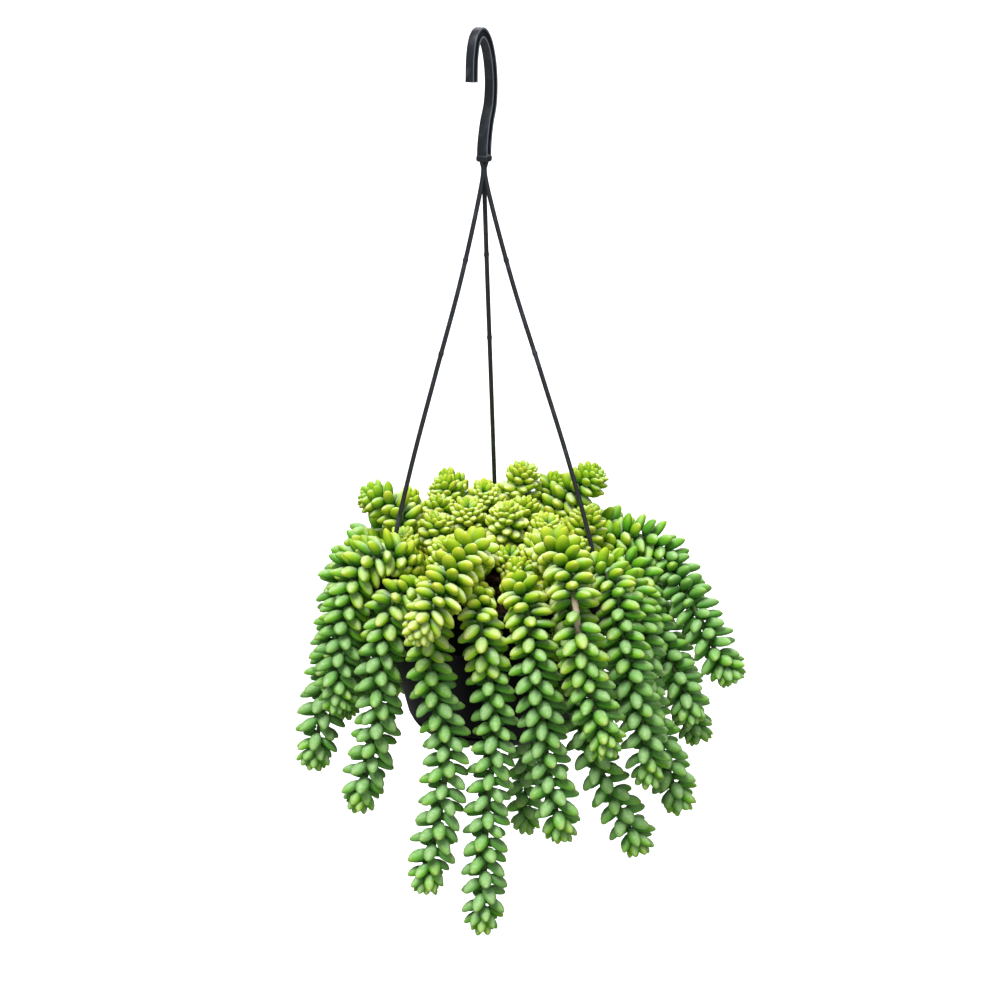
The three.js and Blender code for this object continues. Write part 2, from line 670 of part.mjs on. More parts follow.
const TWIST = 0.11; // turn of each row of leaves on the last, in radians
const LEAF_LEAN = 0.62; // how far a leaf's point lies beyond its row, in rows

// A stem's skin is a net of creases with one leaf standing out of each of its diamonds. The creases'
// crossings lie on every second of 2 n columns, row by row in turn, and the leaves between them. Each
// leaf is four faces that rise from the crease to a point, which leans towards the stem's tip.
function stemGeometry(stem) {
  const { rows, room, bare } = stem;
  const last = rows.length - 1;
  const columns = 2 * LEAF_COLUMNS;
  const bald = (i) => bare !== undefined && i > bare[0] * last && i < bare[1] * last;
  const vertices = [];
  const triangles = [];
  const place = (row, column, radius, onward = 0) => {
    const next = rows[Math.min(last, row + 1)];
    const angle = (ROUND * column) / columns + TWIST * (row + onward);
    const from = rows[row];
    const at = from.at.clone().lerp(next.at, onward);
    const across = from.across.clone().lerp(next.across, onward);
    const beside = from.beside.clone().lerp(next.beside, onward);
    at.addScaledVector(across, radius * Math.cos(angle)).addScaledVector(beside, radius * Math.sin(angle));
    return vertices.push(at.x, at.y, at.z) / 3 - 1;
  };
  const wrap = (column) => (column + columns) % columns;
  const crease = rows.map((_, i) => {
    const ring = new Array(columns);
    let depth = VALLEY * room[i];
    if (i === 0) depth = BARE_RADIUS;
    if (i === last) depth = 0.45 * room[i];
    if (bald(i)) depth = BARE_RADIUS;
    for (let j = 0; j < columns; j++) {
      if ((i + j) % 2 === 1) ring[j] = place(i, j, Math.max(BARE_RADIUS, depth));
    }
    return ring;
  });
  for (let i = 0; i <= last; i++) {
    for (let j = i % 2; j < columns; j += 2) {
      const left = crease[i][wrap(j - 1)];
      const right = crease[i][wrap(j + 1)];
      if (i === 0) triangles.push(left, right, crease[1][j]);
      else if (i === last) triangles.push(left, crease[i - 1][j], right);
      else if (bald(i)) triangles.push(crease[i - 1][j], right, left, left, right, crease[i + 1][j]);
      else {
        const point = place(i, j, Math.min(room[i], room[i + 1]), LEAF_LEAN);
        const [near, far] = [crease[i - 1][j], crease[i + 1][j]];
        triangles.push(near, right, point, right, far, point, far, left, point, left, near, point);
      }
    }
  }
  const tip = rows[last].at.clone().addScaledVector(rows[last].along, 0.45 * room[last]);
  const crown = vertices.push(tip.x, tip.y, tip.z) / 3 - 1;
  const foot = rows[0].at.clone().addScaledVector(UP, -SUNK);
  const heel = vertices.push(foot.x, foot.y, foot.z) / 3 - 1;
  const upright = new THREE.Quaternion().setFromUnitVectors(rows[0].along, UP);
  const lower = (index) => {
    const at = new THREE.Vector3().fromArray(vertices, 3 * index).sub(rows[0].at);
    at.applyQuaternion(upright).add(foot);
    return vertices.push(at.x, at.y, at.z) / 3 - 1;
  };
  const sunk = crease[0].map((index) => (index === undefined ? undefined : lower(index)));
  for (let j = 0; j < columns; j++) {
    const on = wrap(j + 2);
    if ((last + j) % 2 === 1) triangles.push(crease[last][j], crease[last][on], crown);
    if (j % 2 === 1) {
      triangles.push(crease[0][on], crease[0][j], sunk[j], crease[0][on], sunk[j], sunk[on]);
      triangles.push(sunk[on], sunk[j], heel);
    }
  }
  const geometry = new THREE.BufferGeometry();
  geometry.setAttribute('position', new THREE.Float32BufferAttribute(vertices, 3));
  geometry.setIndex(triangles);
  return closed(geometry);
}

// ---- the assembly -------------------------------------------------------------------------------

const BLACK = { color: 0x1b1d20, roughness: 0.42, metalness: 0 };
const plastic = () => new THREE.MeshStandardMaterial(BLACK);
const soilEarth = new THREE.MeshStandardMaterial({ color: 0x2c1a12, roughness: 0.95, metalness: 0 });
const LEAF_OUTER = new THREE.Color(0x6f9a4c);
const LEAF_CROWN = new THREE.Color(0xb9cc55);

const plant = new THREE.Group();
function addPiece(name, geometry, material) {
  const mesh = new THREE.Mesh(geometry, material);
  mesh.name = name;
  plant.add(mesh);
}

addPiece('pot', makePot(), plastic());
addPiece('saucer', closed(makeSaucer()), plastic());
addPiece('soil', makeSoil(stems), soilEarth);
addPiece('hanger', makeHanger(), plastic());
for (const stem of stems) {
  const color = stem.name.startsWith('crown') ? LEAF_CROWN : LEAF_OUTER;
  const leaf = new THREE.MeshStandardMaterial({ color, roughness: 0.5, metalness: 0 });
  addPiece(stem.name, stemGeometry(stem), leaf);
}
plant.position.copy(SEAT).negate();

export default plant;
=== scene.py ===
# A burro's tail, a trailing stonecrop, in a black hanging pot on a moulded hanger: its looks, built round
# its frame.
import math

import bpy
import numpy as np
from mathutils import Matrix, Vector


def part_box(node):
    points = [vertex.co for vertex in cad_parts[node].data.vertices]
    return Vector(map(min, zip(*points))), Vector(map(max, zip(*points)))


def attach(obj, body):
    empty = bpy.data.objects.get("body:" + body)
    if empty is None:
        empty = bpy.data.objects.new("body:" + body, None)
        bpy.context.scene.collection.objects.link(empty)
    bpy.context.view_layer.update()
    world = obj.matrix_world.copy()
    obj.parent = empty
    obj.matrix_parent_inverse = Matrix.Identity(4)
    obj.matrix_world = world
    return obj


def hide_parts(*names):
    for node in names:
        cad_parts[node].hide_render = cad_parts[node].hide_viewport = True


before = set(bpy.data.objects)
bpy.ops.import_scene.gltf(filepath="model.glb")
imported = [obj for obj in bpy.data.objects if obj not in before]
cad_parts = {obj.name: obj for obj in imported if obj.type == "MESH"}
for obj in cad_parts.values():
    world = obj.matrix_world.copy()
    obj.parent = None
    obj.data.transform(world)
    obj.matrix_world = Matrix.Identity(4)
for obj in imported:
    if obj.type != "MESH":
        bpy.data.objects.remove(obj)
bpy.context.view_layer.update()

# ---- pot ----------------------------------------------------------------------------------------
# A thin pot, injection moulded in black plastic: a flat flange round the mouth, an upright band under it,
# a cone that narrows to the foot, and a base sunk between the foot's walls with six drain holes. The
# hanger's strands go through three more holes in the flange.
MM = 0.001
pot_low, pot_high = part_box("pot")
RIM = np.array([(pot_low.x + pot_high.x) / 2, (pot_low.y + pot_high.y) / 2, pot_high.z])
# Every size and place below is in millimetres from the middle of the pot's rim, which RIM gives in metres.

RIM_RADIUS = 79.0
RIM_THICKNESS = 1.6
WALL = 1.5
MOUTH_RADIUS = 70.0
COLLAR_RADIUS = 71.5
COLLAR_FOOT_RADIUS = 70.6
COLLAR_BOTTOM = -29.0
CONE_TOP_RADIUS = 69.2
CONE_BOTTOM_RADIUS = 53.9
CONE_BOTTOM = -88.0
FOOT_RADIUS = 48.5
FOOT_BOTTOM = -94.0
POT_EDGE = 0.7  # how far the pot's corners are rounded
STRAND_CIRCLE = 75.0
STRAND_ANGLES = (210, 331.5, 88.5)
STRAND_HOLE_RADIUS = 2.15
DRAIN_CIRCLE = 34.0
DRAIN_COUNT = 6
DRAIN_RADIUS = 1.7
DRILL_REACH = 3.0  # above and below the middle of the plastic that it cuts
HAIR = 0.01  # parts points that would otherwise fall together


def rounded(corners, radius, steps=4):
    """A closed outline with its corners rounded: at each corner a parabola leaves one side and joins the
    next, at a distance of radius or nearly half of the shorter side. corners is (..., corner, 2)."""
    to_last = np.roll(corners, 1, axis=-2) - corners
    to_next = np.roll(corners, -1, axis=-2) - corners
    last_length = np.linalg.norm(to_last, axis=-1, keepdims=True)
    next_length = np.linalg.norm(to_next, axis=-1, keepdims=True)
    reach = np.minimum(radius, 0.45 * np.minimum(last_length, next_length))
    start = corners + to_last * reach / np.maximum(last_length, 1e-9)
    end = corners + to_next * reach / np.maximum(next_length, 1e-9)
    t = np.linspace(0, 1, steps)[:, None]
    start, middle, end = (p[..., None, :] for p in (start, corners, end))
    curve = (1 - t) ** 2 * start + 2 * t * (1 - t) * middle + t**2 * end
    return curve.reshape(*corners.shape[:-2], -1, 2)


def skin(rings, loop=False):
    """Four-sided faces between rings of points (along, round, 3), each ring closed on itself. The last ring
    joins the first, or fans of triangles close both ends at the middles of their rings."""
    count, round_count, _ = rings.shape
    index = np.arange(count * round_count).reshape(count, round_count)
    onward = np.roll(index, -1, axis=0) if loop else index[1:]
    here = index if loop else index[:-1]
    quads = np.stack([here, np.roll(here, -1, 1), np.roll(onward, -1, 1), onward], -1).reshape(-1, 4)
    points = rings.reshape(-1, 3)
    fans = np.zeros((0, 3), int)
    if not loop:
        middles = np.stack([rings[0].mean(0), rings[-1].mean(0)])
        first, last = len(points), len(points) + 1
        points = np.concatenate([points, middles])
        top = np.stack([np.full(round_count, first), np.roll(index[0], -1), index[0]], -1)
        bottom = np.stack([np.full(round_count, last), index[-1], np.roll(index[-1], -1)], -1)
        fans = np.concatenate([top, bottom])
    return points, quads, fans


def outward(points, quads, fans):
    """The same faces, turned round if the volume they enclose comes out negative: the sum over all triangles
    of one corner's dot product with the cross product of two sides."""
    triangles = np.concatenate([quads[:, [0, 1, 2]], quads[:, [0, 2, 3]], fans])
    a, b, c = (points[triangles[:, k]] for k in range(3))
    if np.einsum("ij,ij->", a - points.mean(0), np.cross(b - a, c - a)) < 0:
        return points, quads[:, ::-1], fans[:, ::-1]
    return points, quads, fans


def joined(shells):
    """Several shells of points and faces as one: each shell's faces count on from the points before it."""
    starts = np.cumsum([0] + [len(points) for points, _, _ in shells[:-1]])
    points = np.concatenate([points for points, _, _ in shells])
    quads = np.concatenate([quads + start for (_, quads, _), start in zip(shells, starts)])
    fans = np.concatenate([fans + start for (_, _, fans), start in zip(shells, starts)])
    return points, quads, fans


def make_piece(name, shell, materials, face_material=None, **fields):
    """A mesh object in the frame's metres from a shell in millimetres from the rim's middle. fields are
    numbers on its points that its material reads."""
    points, quads, fans = shell
    mesh = bpy.data.meshes.new(name)
    mesh.vertices.add(len(points))
    mesh.vertices.foreach_set("co", (points * MM + RIM).astype(np.float32).ravel())
    loops = np.concatenate([quads.ravel(), fans.ravel()]).astype(np.int32)
    mesh.loops.add(len(loops))
    mesh.loops.foreach_set("vertex_index", loops)
    sizes = np.repeat([4, 3], [len(quads), len(fans)]).astype(np.int32)
    mesh.polygons.add(len(sizes))
    mesh.polygons.foreach_set("loop_start", np.concatenate([[0], np.cumsum(sizes)[:-1]]).astype(np.int32))
    mesh.polygons.foreach_set("loop_total", sizes)
    for material in materials:
        mesh.materials.append(material)
    if face_material is not None:
        mesh.polygons.foreach_set("material_index", face_material.astype(np.int32))
    mesh.polygons.foreach_set("use_smooth", np.ones(len(sizes), bool))
    for field, values in fields.items():
        attribute = mesh.attributes.new(field, "FLOAT", "POINT")
        attribute.data.foreach_set("value", values.astype(np.float32))
    mesh.update(calc_edges=True)
    mesh.validate()
    piece = bpy.data.objects.new(name, mesh)
    bpy.context.scene.collection.objects.link(piece)
    return piece


def turned(outline, sides=144):
    """A closed outline of radii and heights, turned about the pot's axis: each of its points becomes a ring
    of (radius times cosine, radius times sine, height)."""
    angle = np.linspace(0, 2 * np.pi, sides, endpoint=False)
    radius, height = outline[:, 0][:, None], outline[:, 1][:, None]
    rings = np.stack([radius * np.cos(angle), radius * np.sin(angle), height + 0 * angle], -1)
    return outward(*skin(rings, loop=True))


def on_circle(radius, degrees, height=0.0):
    """A point at a plan angle and distance from the pot's axis: radius times cosine and sine, and height."""
    angle = math.radians(degrees)
    return np.array([radius * math.cos(angle), radius * math.sin(angle), height])


class Field:
    """A number or colour that varies over a surface, held as the output of a node. A sum, difference or
    product with another one, or with a plain number, is a Math node."""

    def __init__(self, finish, socket):
        self.finish = finish
        self.socket = socket

    def math(self, operation, first, second):
        return self.finish.node("Math", {"operation": operation}, {0: first, 1: second})

    def __add__(self, other):
        return self.math("ADD", self, other)

    def __sub__(self, other):
        return self.math("SUBTRACT", self, other)

    def __rsub__(self, other):
        return self.math("SUBTRACT", other, self)

    def __mul__(self, other):
        return self.math("MULTIPLY", self, other)

    __radd__ = __add__
    __rmul__ = __mul__


class Finish:
    """One material: its nodes round a Principled shader, whose plain values are set on its own sockets."""

    def __init__(self, name, **plain):
        self.material = bpy.data.materials.new(name)
        self.material.use_nodes = True
        self.tree = self.material.node_tree
        self.shader = self.tree.nodes["Principled BSDF"]
        for socket, value in plain.items():
            self.shader.inputs[socket.replace("_", " ")].default_value = value

    def fill(self, socket, value):
        """Links a field to a socket, or sets the socket's plain number or colour."""
        if isinstance(value, Field):
            self.tree.links.new(value.socket, socket)
        elif isinstance(value, tuple) and socket.type == "RGBA":
            socket.default_value = (*value, 1.0)
        else:
            socket.default_value = value

    def node(self, kind, settings=None, inputs=None, output=0):
        """A new node of a kind, with its settings made first, then its sockets' values or links."""
        node = self.tree.nodes.new("ShaderNode" + kind)
        for setting, value in (settings or {}).items():
            if setting == "stops":
                ramp = node.color_ramp
                while len(ramp.elements) < len(value):
                    ramp.elements.new(0.5)
                for element, (place, color) in zip(ramp.elements, value):
                    element.position = place
                    element.color = (*color, 1.0)
            else:
                setattr(node, setting, value)
        for socket, value in (inputs or {}).items():
            self.fill(node.inputs[socket], value)
        return Field(self, node.outputs[output])

    def place(self):
        """The place on the object, in metres."""
        return self.node("TexCoord", output="Object")

    def noise(self, size, detail=3.0, roughness=0.55):
        """Cloudy noise round 0.5 with lumps of a size in millimetres."""
        inputs = {"Vector": self.place(), "Scale": 1 / (size * MM), "Detail": detail, "Roughness": roughness}
        return self.node("TexNoise", None, inputs)

    def attribute(self, name):
        """A number that the piece carries on its points."""
        return self.node("Attribute", {"attribute_name": name}, output="Fac")

    def ramp(self, factor, stops):
        """A colour read between stops of (place, colour)."""
        return self.node("ValToRGB", {"stops": stops}, {"Fac": factor})

    def mix(self, factor, first, second):
        """The first colour where factor is 0, the second where it is 1."""
        return self.node("Mix", {"data_type": "RGBA"}, {0: factor, 6: first, 7: second}, output=2)

    def rise(self, value, low, high):
        """0 below low and 1 above high, with a smooth step between."""
        settings = {"interpolation_type": "SMOOTHSTEP"}
        return self.node("MapRange", settings, {"Value": value, "From Min": low, "From Max": high})

    def drive(self, **sockets):
        """Fills the shader's own sockets."""
        for socket, value in sockets.items():
            self.fill(self.shader.inputs[socket.replace("_", " ")], value)

    def bump(self, height, depth):
        """Bumps of a depth in millimetres where height is 1."""
        inputs = {"Strength": 1.0, "Distance": depth * MM, "Height": height}
        self.drive(Normal=self.node("Bump", None, inputs))


def black_plastic(name, color, dusty, gloss, rubbed):
    """Black polypropylene off the mould: satin, with faint cloudy patches, handling dust and fine grain, and
    a painted highlight in a paler grey where the piece's own field says."""
    finish = Finish(name, Specular_IOR_Level=gloss)
    dust = finish.rise(finish.noise(9, 6), 0.5, 0.78)
    scuffs = finish.noise(1.6, 4)
    skin_color = finish.mix(dust * 0.4, color, dusty)
    # Painted highlight: the paler grey where the piece's own field is 1, on the hook's lips.
    finish.drive(
        Base_Color=finish.mix(finish.attribute("rubbed") * 0.8, skin_color, rubbed),
        Roughness=0.3 + scuffs * 0.16 + dust * 0.14,
    )
    finish.bump(finish.noise(0.5, 2) * 0.6 + finish.noise(6, 2) * 0.8, 0.05)
    return finish.material


# Painted shade: the pot's and saucer's plastic is made darker than the hanger's, for the shade the leaves
# cast on it.
plastic = black_plastic(
    "pot_plastic_painted_shade", (0.0012, 0.0020, 0.0016), (0.010, 0.012, 0.010), gloss=0.1, rubbed=(0.03, 0.035, 0.03),
)

pot_outline = rounded(
    np.array([
        [HAIR, CONE_BOTTOM],
        [FOOT_RADIUS - WALL, CONE_BOTTOM],
        [FOOT_RADIUS - WALL, FOOT_BOTTOM],
        [FOOT_RADIUS, FOOT_BOTTOM],
        [FOOT_RADIUS, CONE_BOTTOM],
        [CONE_BOTTOM_RADIUS, CONE_BOTTOM],
        [CONE_TOP_RADIUS, COLLAR_BOTTOM],
        [COLLAR_FOOT_RADIUS, COLLAR_BOTTOM],
        [COLLAR_RADIUS, -RIM_THICKNESS],
        [RIM_RADIUS, -RIM_THICKNESS],
        [RIM_RADIUS, 0],
        [MOUTH_RADIUS, 0],
        [COLLAR_FOOT_RADIUS - WALL, COLLAR_BOTTOM + WALL],
        [CONE_TOP_RADIUS - WALL, COLLAR_BOTTOM - WALL],
        [CONE_BOTTOM_RADIUS - WALL, CONE_BOTTOM + WALL],
        [HAIR, CONE_BOTTOM + WALL],
    ]),
    radius=POT_EDGE,
)
pot = make_piece("moulded_pot", turned(pot_outline), [plastic])


def drill(piece, places, radius, reach):
    """Cuts round holes straight down through a piece: at each place a round bit takes its plastic away, as
    far above the place as below it."""
    angle = np.linspace(0, 2 * np.pi, 24, endpoint=False)
    ring = np.stack([radius * np.cos(angle), radius * np.sin(angle), 0 * angle], -1)
    rise = np.array([0, 0, reach])
    bits = [outward(*skin(np.stack([ring + place + rise, ring + place - rise]))) for place in places]
    cutter = make_piece("drill", joined(bits), [])
    cut = piece.modifiers.new("holes", "BOOLEAN")
    cut.operation = "DIFFERENCE"
    cut.solver = "EXACT"
    cut.object = cutter
    bpy.context.view_layer.update()
    shaped = bpy.data.meshes.new_from_object(piece.evaluated_get(bpy.context.evaluated_depsgraph_get()))
    piece.modifiers.clear()
    piece.data = shaped
    bpy.data.objects.remove(cutter)


eyes = [on_circle(STRAND_CIRCLE, degrees, -RIM_THICKNESS / 2) for degrees in STRAND_ANGLES]
drain_angles = [360 * i / DRAIN_COUNT for i in range(DRAIN_COUNT)]
drains = [on_circle(DRAIN_CIRCLE, degrees, CONE_BOTTOM + WALL / 2) for degrees in drain_angles]
drill(pot, eyes, STRAND_HOLE_RADIUS, DRILL_REACH)
drill(pot, drains, DRAIN_RADIUS, DRILL_REACH)
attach(pot, "root")
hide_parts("pot")

# ---- drip saucer --------------------------------------------------------------------------------
# A shallow saucer, injection moulded in the same black plastic and pushed up over the pot's foot. Its wall
# leans out to a rounded edge.
GAP = 0.3  # between pieces that touch on the real thing
SAUCER_FLOOR = 1.7
SAUCER_RIM_RADIUS = 52.8
SAUCER_RIM = -89.3
SAUCER_EDGE = 0.6
saucer_floor = FOOT_BOTTOM - GAP
saucer_inside = FOOT_RADIUS + GAP
saucer_outline = rounded(
    np.array([
        [HAIR, saucer_floor - SAUCER_FLOOR],
        [saucer_inside - 1, saucer_floor - SAUCER_FLOOR],
        [saucer_inside + 1.3, saucer_floor - SAUCER_FLOOR + 2],
        [SAUCER_RIM_RADIUS - 0.3, SAUCER_RIM - 1.2],
        [SAUCER_RIM_RADIUS, SAUCER_RIM],
        [SAUCER_RIM_RADIUS - 1.4, SAUCER_RIM],
        [saucer_inside, saucer_floor + 1.6],
        [saucer_inside, saucer_floor],
        [HAIR, saucer_floor],
    ]),
    radius=SAUCER_EDGE,
)
saucer = make_piece("drip_saucer", turned(saucer_outline), [plastic])
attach(saucer, "root")
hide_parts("saucer")

# ---- hanger -------------------------------------------------------------------------------------
# Hook, collar and three strands moulded in one shot of black plastic. The hook is a band with a deep groove
# in each side; the strands run out of the collar, bow over the plant and snap into the flange with knobs.
# Painted light: the hanger's plastic is made paler and bluer than the pot's, for the light that falls on it.
hanger_plastic_painted_light = black_plastic(
    "hanger_plastic_painted_light", (0.014, 0.017, 0.022), (0.10, 0.115, 0.14), gloss=0.4, rubbed=(0.26, 0.30, 0.36),
)
STRAND_RADIUS = 1.4
KNOB_RADIUS = 2.8
KNOB_DEPTH = 4.2
SPLIT_HEIGHT = 242.0  # the three strands part here
BUNDLE_RADIUS = 1.6  # how far the strands lie from their common axis above that
# How the plant bows a strand out, as shares of its way to the flange and distances.
STRAND_BOW = ((0.22, 0.8), (0.45, 2.6), (0.66, 4.0), (0.85, 3.4))
NUB_HEIGHTS = (200.0, 145.0)  # gate marks left by the mould on each strand
NUB_RISE = 0.35
NUB_SPREAD = 0.9
HOOK_BASE = 257.5
HOOK_SIDE = np.array([-5.0, 0.0, 0.0])  # the hanger's axis lies a little to one side of the pot's
HOOK_TURN = math.atan2(-0.89, -0.46)  # plan direction from the shank to the hook's tip
HOOK_WIDTH = 6.8
HOOK_DEPTH = 6.2
HOOK_FLANGE = 1.25
HOOK_WEB = 2.6
HOOK_EDGE = 0.35
GROOVE_START = 2.5  # over the collar
GROOVE_RUNOUT = 2.2
NECK_HEIGHT = 3.8
NECK_MARGIN = 0.8  # by which the collar is wider than the band
NECK_EDGE = 0.9
NECK_TAPER = 0.18  # the share by which it narrows to its top and its foot
# The hook's middle line in its own upright plane, as distances towards the tip and heights.
HOOK_LINE = [
    (0, 259), (-0.6, 268), (-3.4, 279.5), (-7.9, 290.5), (-9.2, 303), (-7.4, 316), (-2.6, 327),
    (4.4, 332.1), (11, 328.6), (14.4, 318.5), (15.3, 304.5),
]


def smooth_line(points, per_span=24):
    """A line through given points: between two of them a cubic whose slope at each is half the step
    between its neighbours, with the end steps carried on."""
    p = np.asarray(points, float)
    p = np.concatenate([2 * p[:1] - p[1:2], p, 2 * p[-1:] - p[-2:-1]])
    before, start, end, after = (p[i : len(p) - 3 + i][:, None] for i in range(4))
    t = (np.arange(per_span) / per_span)[None, :, None]
    slope_in, slope_out = (end - before) / 2, (after - start) / 2
    cubic = 2 * start - 2 * end + slope_in + slope_out
    square = -3 * start + 3 * end - 2 * slope_in - slope_out
    line = start + slope_in * t + square * t**2 + cubic * t**3
    return np.concatenate([line.reshape(-1, p.shape[1]), p[-2:-1]])


def read_along(values, known, wanted):
    """Numbers or points known at some lengths along a line, read at others by straight steps between."""
    if values.ndim == 1:
        return np.interp(wanted, known, values)
    return np.stack([np.interp(wanted, known, values[:, k]) for k in range(values.shape[1])], -1)


def evenly(line, spacing):
    """Points about a given length apart along a line, at least four of them, and the line's length."""
    reach = np.concatenate([[0], np.cumsum(np.linalg.norm(np.diff(line, axis=0), axis=1))])
    count = max(3, math.floor(reach[-1] / spacing + 0.5))
    return read_along(line, reach, np.linspace(0, reach[-1], count + 1)), reach[-1]


def unit(vectors):
    """Each vector over its own length."""
    return vectors / np.maximum(np.linalg.norm(vectors, axis=-1, keepdims=True), 1e-9)


def directions(line):
    """The direction of a line at each of its points, from the point before to the point after."""
    padded = np.concatenate([line[:1], line, line[-1:]])
    return unit(padded[2:] - padded[:-2])


band_line, band_length = evenly(smooth_line(HOOK_LINE), 0.7)
band_along = directions(band_line)
band_across = np.stack([-band_along[:, 1], band_along[:, 0]], -1)
near_end = np.linspace(0, band_length, len(band_line))
near_end = np.minimum(near_end - GROOVE_START, band_length - near_end)
# The grooves run out into solid plastic at the collar and at the tip.
groove = np.sqrt(np.clip(near_end / GROOVE_RUNOUT, 0, 1)) * (HOOK_WIDTH - HOOK_WEB) / 2
half_depth = HOOK_DEPTH / 2
# The band narrows a little from the collar to the tip.
narrowed = np.interp(np.linspace(0, 1, len(groove)), [0, 0.35, 0.7, 1], [1, 0.86, 0.76, 0.76])
full, deep = HOOK_WIDTH / 2 * narrowed, half_depth + 0 * groove
lip = half_depth - HOOK_FLANGE + 0 * groove
web = (HOOK_WIDTH / 2 - groove) * narrowed - HAIR
# One half of the band's section, corner by corner, and the same half turned round for the other side.
half = [(full, -deep), (full, -lip), (web, -lip), (web, lip), (full, lip), (full, deep)]
section = [np.stack(corner, -1) for corner in half] + [np.stack([-x, -z], -1) for x, z in half]
section = rounded(np.stack(section, 1), radius=HOOK_EDGE, steps=4)
out_of_plane = np.array([-math.sin(HOOK_TURN), math.cos(HOOK_TURN), 0.0])
in_plane = np.array([math.cos(HOOK_TURN), math.sin(HOOK_TURN), 0.0])
upright = np.array([0.0, 0.0, 1.0])


def in_hook_plane(points):
    """Places from the hook's upright plane, (towards the tip, height), in space: the two directions of that
    plane, each times its distance, from the hanger's axis."""
    return points[..., :1] * in_plane + points[..., 1:] * upright + HOOK_SIDE


middle = in_hook_plane(band_line)[:, None]
thick = (in_hook_plane(band_across) - HOOK_SIDE)[:, None]
band = outward(*skin(middle + section[..., :1] * out_of_plane + section[..., 1:] * thick))
# The grooves' lips stand out and catch the light, so they carry a painted highlight.
LIP_EDGE = 0.1
on_lips = np.abs(section[..., 0]) > full[:, None] - LIP_EDGE

neck_size = [HOOK_DEPTH + NECK_MARGIN, HOOK_WIDTH + NECK_MARGIN]
neck_corners = np.array([[-1, -1], [1, -1], [1, 1], [-1, 1]]) * neck_size / 2
neck_outline = rounded(neck_corners, radius=NECK_EDGE, steps=6)
neck_share = np.linspace(0, 1, 9)[:, None, None]
neck_swell = 1 - NECK_TAPER * np.abs(2 * neck_share - 1) ** 4
neck_plan = neck_outline[None] * neck_swell
neck_rings = neck_plan[..., :1] * in_plane + neck_plan[..., 1:] * out_of_plane + HOOK_SIDE
neck = outward(*skin(neck_rings + upright * (HOOK_BASE + NECK_HEIGHT * neck_share)))


def strand_line(degrees):
    """A strand's middle line: down the bundle from the collar, then straight to the flange with the plant's
    bow added, and through the flange."""
    end = on_circle(STRAND_CIRCLE, degrees)
    top = HOOK_SIDE + upright * SPLIT_HEIGHT
    away = on_circle(1, degrees)
    bowed = [top + (end - top) * share + away * out for share, out in STRAND_BOW]
    heights = (HOOK_BASE + 1, SPLIT_HEIGHT + 3)
    bundled = [on_circle(BUNDLE_RADIUS, degrees, height) + HOOK_SIDE for height in heights]
    return smooth_line([*bundled, *bowed, end, end - upright * (RIM_THICKNESS + GAP + 0.8)])


def frames(line):
    """At each point of a line its direction and two directions across it, which turn as little as the line
    does: each is the last one with its part along the line taken away."""
    along = directions(line)
    across = np.cross(upright, along[0])
    if across @ across < 1e-3:
        across = np.array([1.0, 0.0, 0.0])
    kept = []
    for direction in along:
        across = unit(across - direction * (across @ direction))
        kept.append(across)
    across = np.array(kept)
    return along, across, np.cross(along, across)


def tube(line, radius, sides):
    """A round tube about a line: at each of its points a ring of the line's two cross directions times
    cosine and sine, times the radius there, and a fan over each end."""
    along, across, beside = frames(line)
    angle = np.linspace(0, 2 * np.pi, sides, endpoint=False)[None, :, None]
    radius = radius[:, None, None]
    ring = across[:, None] * np.cos(angle) + beside[:, None] * np.sin(angle)
    return outward(*skin(line[:, None] + radius * ring))


shells = [band, neck]
for degrees in STRAND_ANGLES:
    line, _ = evenly(strand_line(degrees), 1.0)
    nubs = sum(NUB_RISE * np.exp(-(((line[:, 2] - height) / NUB_SPREAD) ** 2)) for height in NUB_HEIGHTS)
    shells.append(tube(line, STRAND_RADIUS + nubs, sides=20))
    # The knob under the flange: a short shoulder, then a cone that narrows downwards.
    under = on_circle(STRAND_CIRCLE, degrees, -RIM_THICKNESS - GAP)
    share = np.linspace(0, 1, 12)
    taper = np.where(share < 0.15, 0.6 + 0.4 * (share / 0.15), 1.06 - 0.46 * share)
    shells.append(tube(under - upright * KNOB_DEPTH * share[:, None], KNOB_RADIUS * taper, sides=24))
hanger_shell = joined(shells)
# The hook's lips get a painted highlight.
rubbed = np.zeros(len(hanger_shell[0]))
rubbed[: on_lips.size] = on_lips.ravel()
hanger = make_piece("moulded_hanger", hanger_shell, [hanger_plastic_painted_light], rubbed=rubbed)
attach(hanger, "root")
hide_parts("hanger")

# ---- potting soil -------------------------------------------------------------------------------
# Dark peat-based mix that fills the pot to just under its rim. Its top is crumbly, and lower round the edge
# to hold water. It shows between the stems.
SOIL_RINGS = [(0.0, -1.0), (59.0, -1.0), (69.3, -6.0)]  # its top, as (radius, height)
SOIL_INSET = WALL + GAP + 0.1
SOIL_SINK = 0.8  # the rough top's middle height lies this far under the rings
CRUMBLE_HEIGHT = 0.5


def crumble(x, y, seed=5, waves=60):
    """Roughness of the soil in millimetres: the sum of many sine waves across the plan, 4 to 16 mm long, each
    with its own direction and start and a height that goes with its length."""
    draw = np.random.default_rng(seed)
    length = draw.uniform(4, 16, waves)
    heading = draw.uniform(0, 2 * np.pi, waves)
    start = draw.uniform(0, 2 * np.pi, waves)
    turn = 2 * np.pi / length * (x[..., None] * np.cos(heading) + y[..., None] * np.sin(heading)) + start
    return (np.sin(turn) * length).sum(-1) * CRUMBLE_HEIGHT / (length.mean() * math.sqrt(waves / 2))


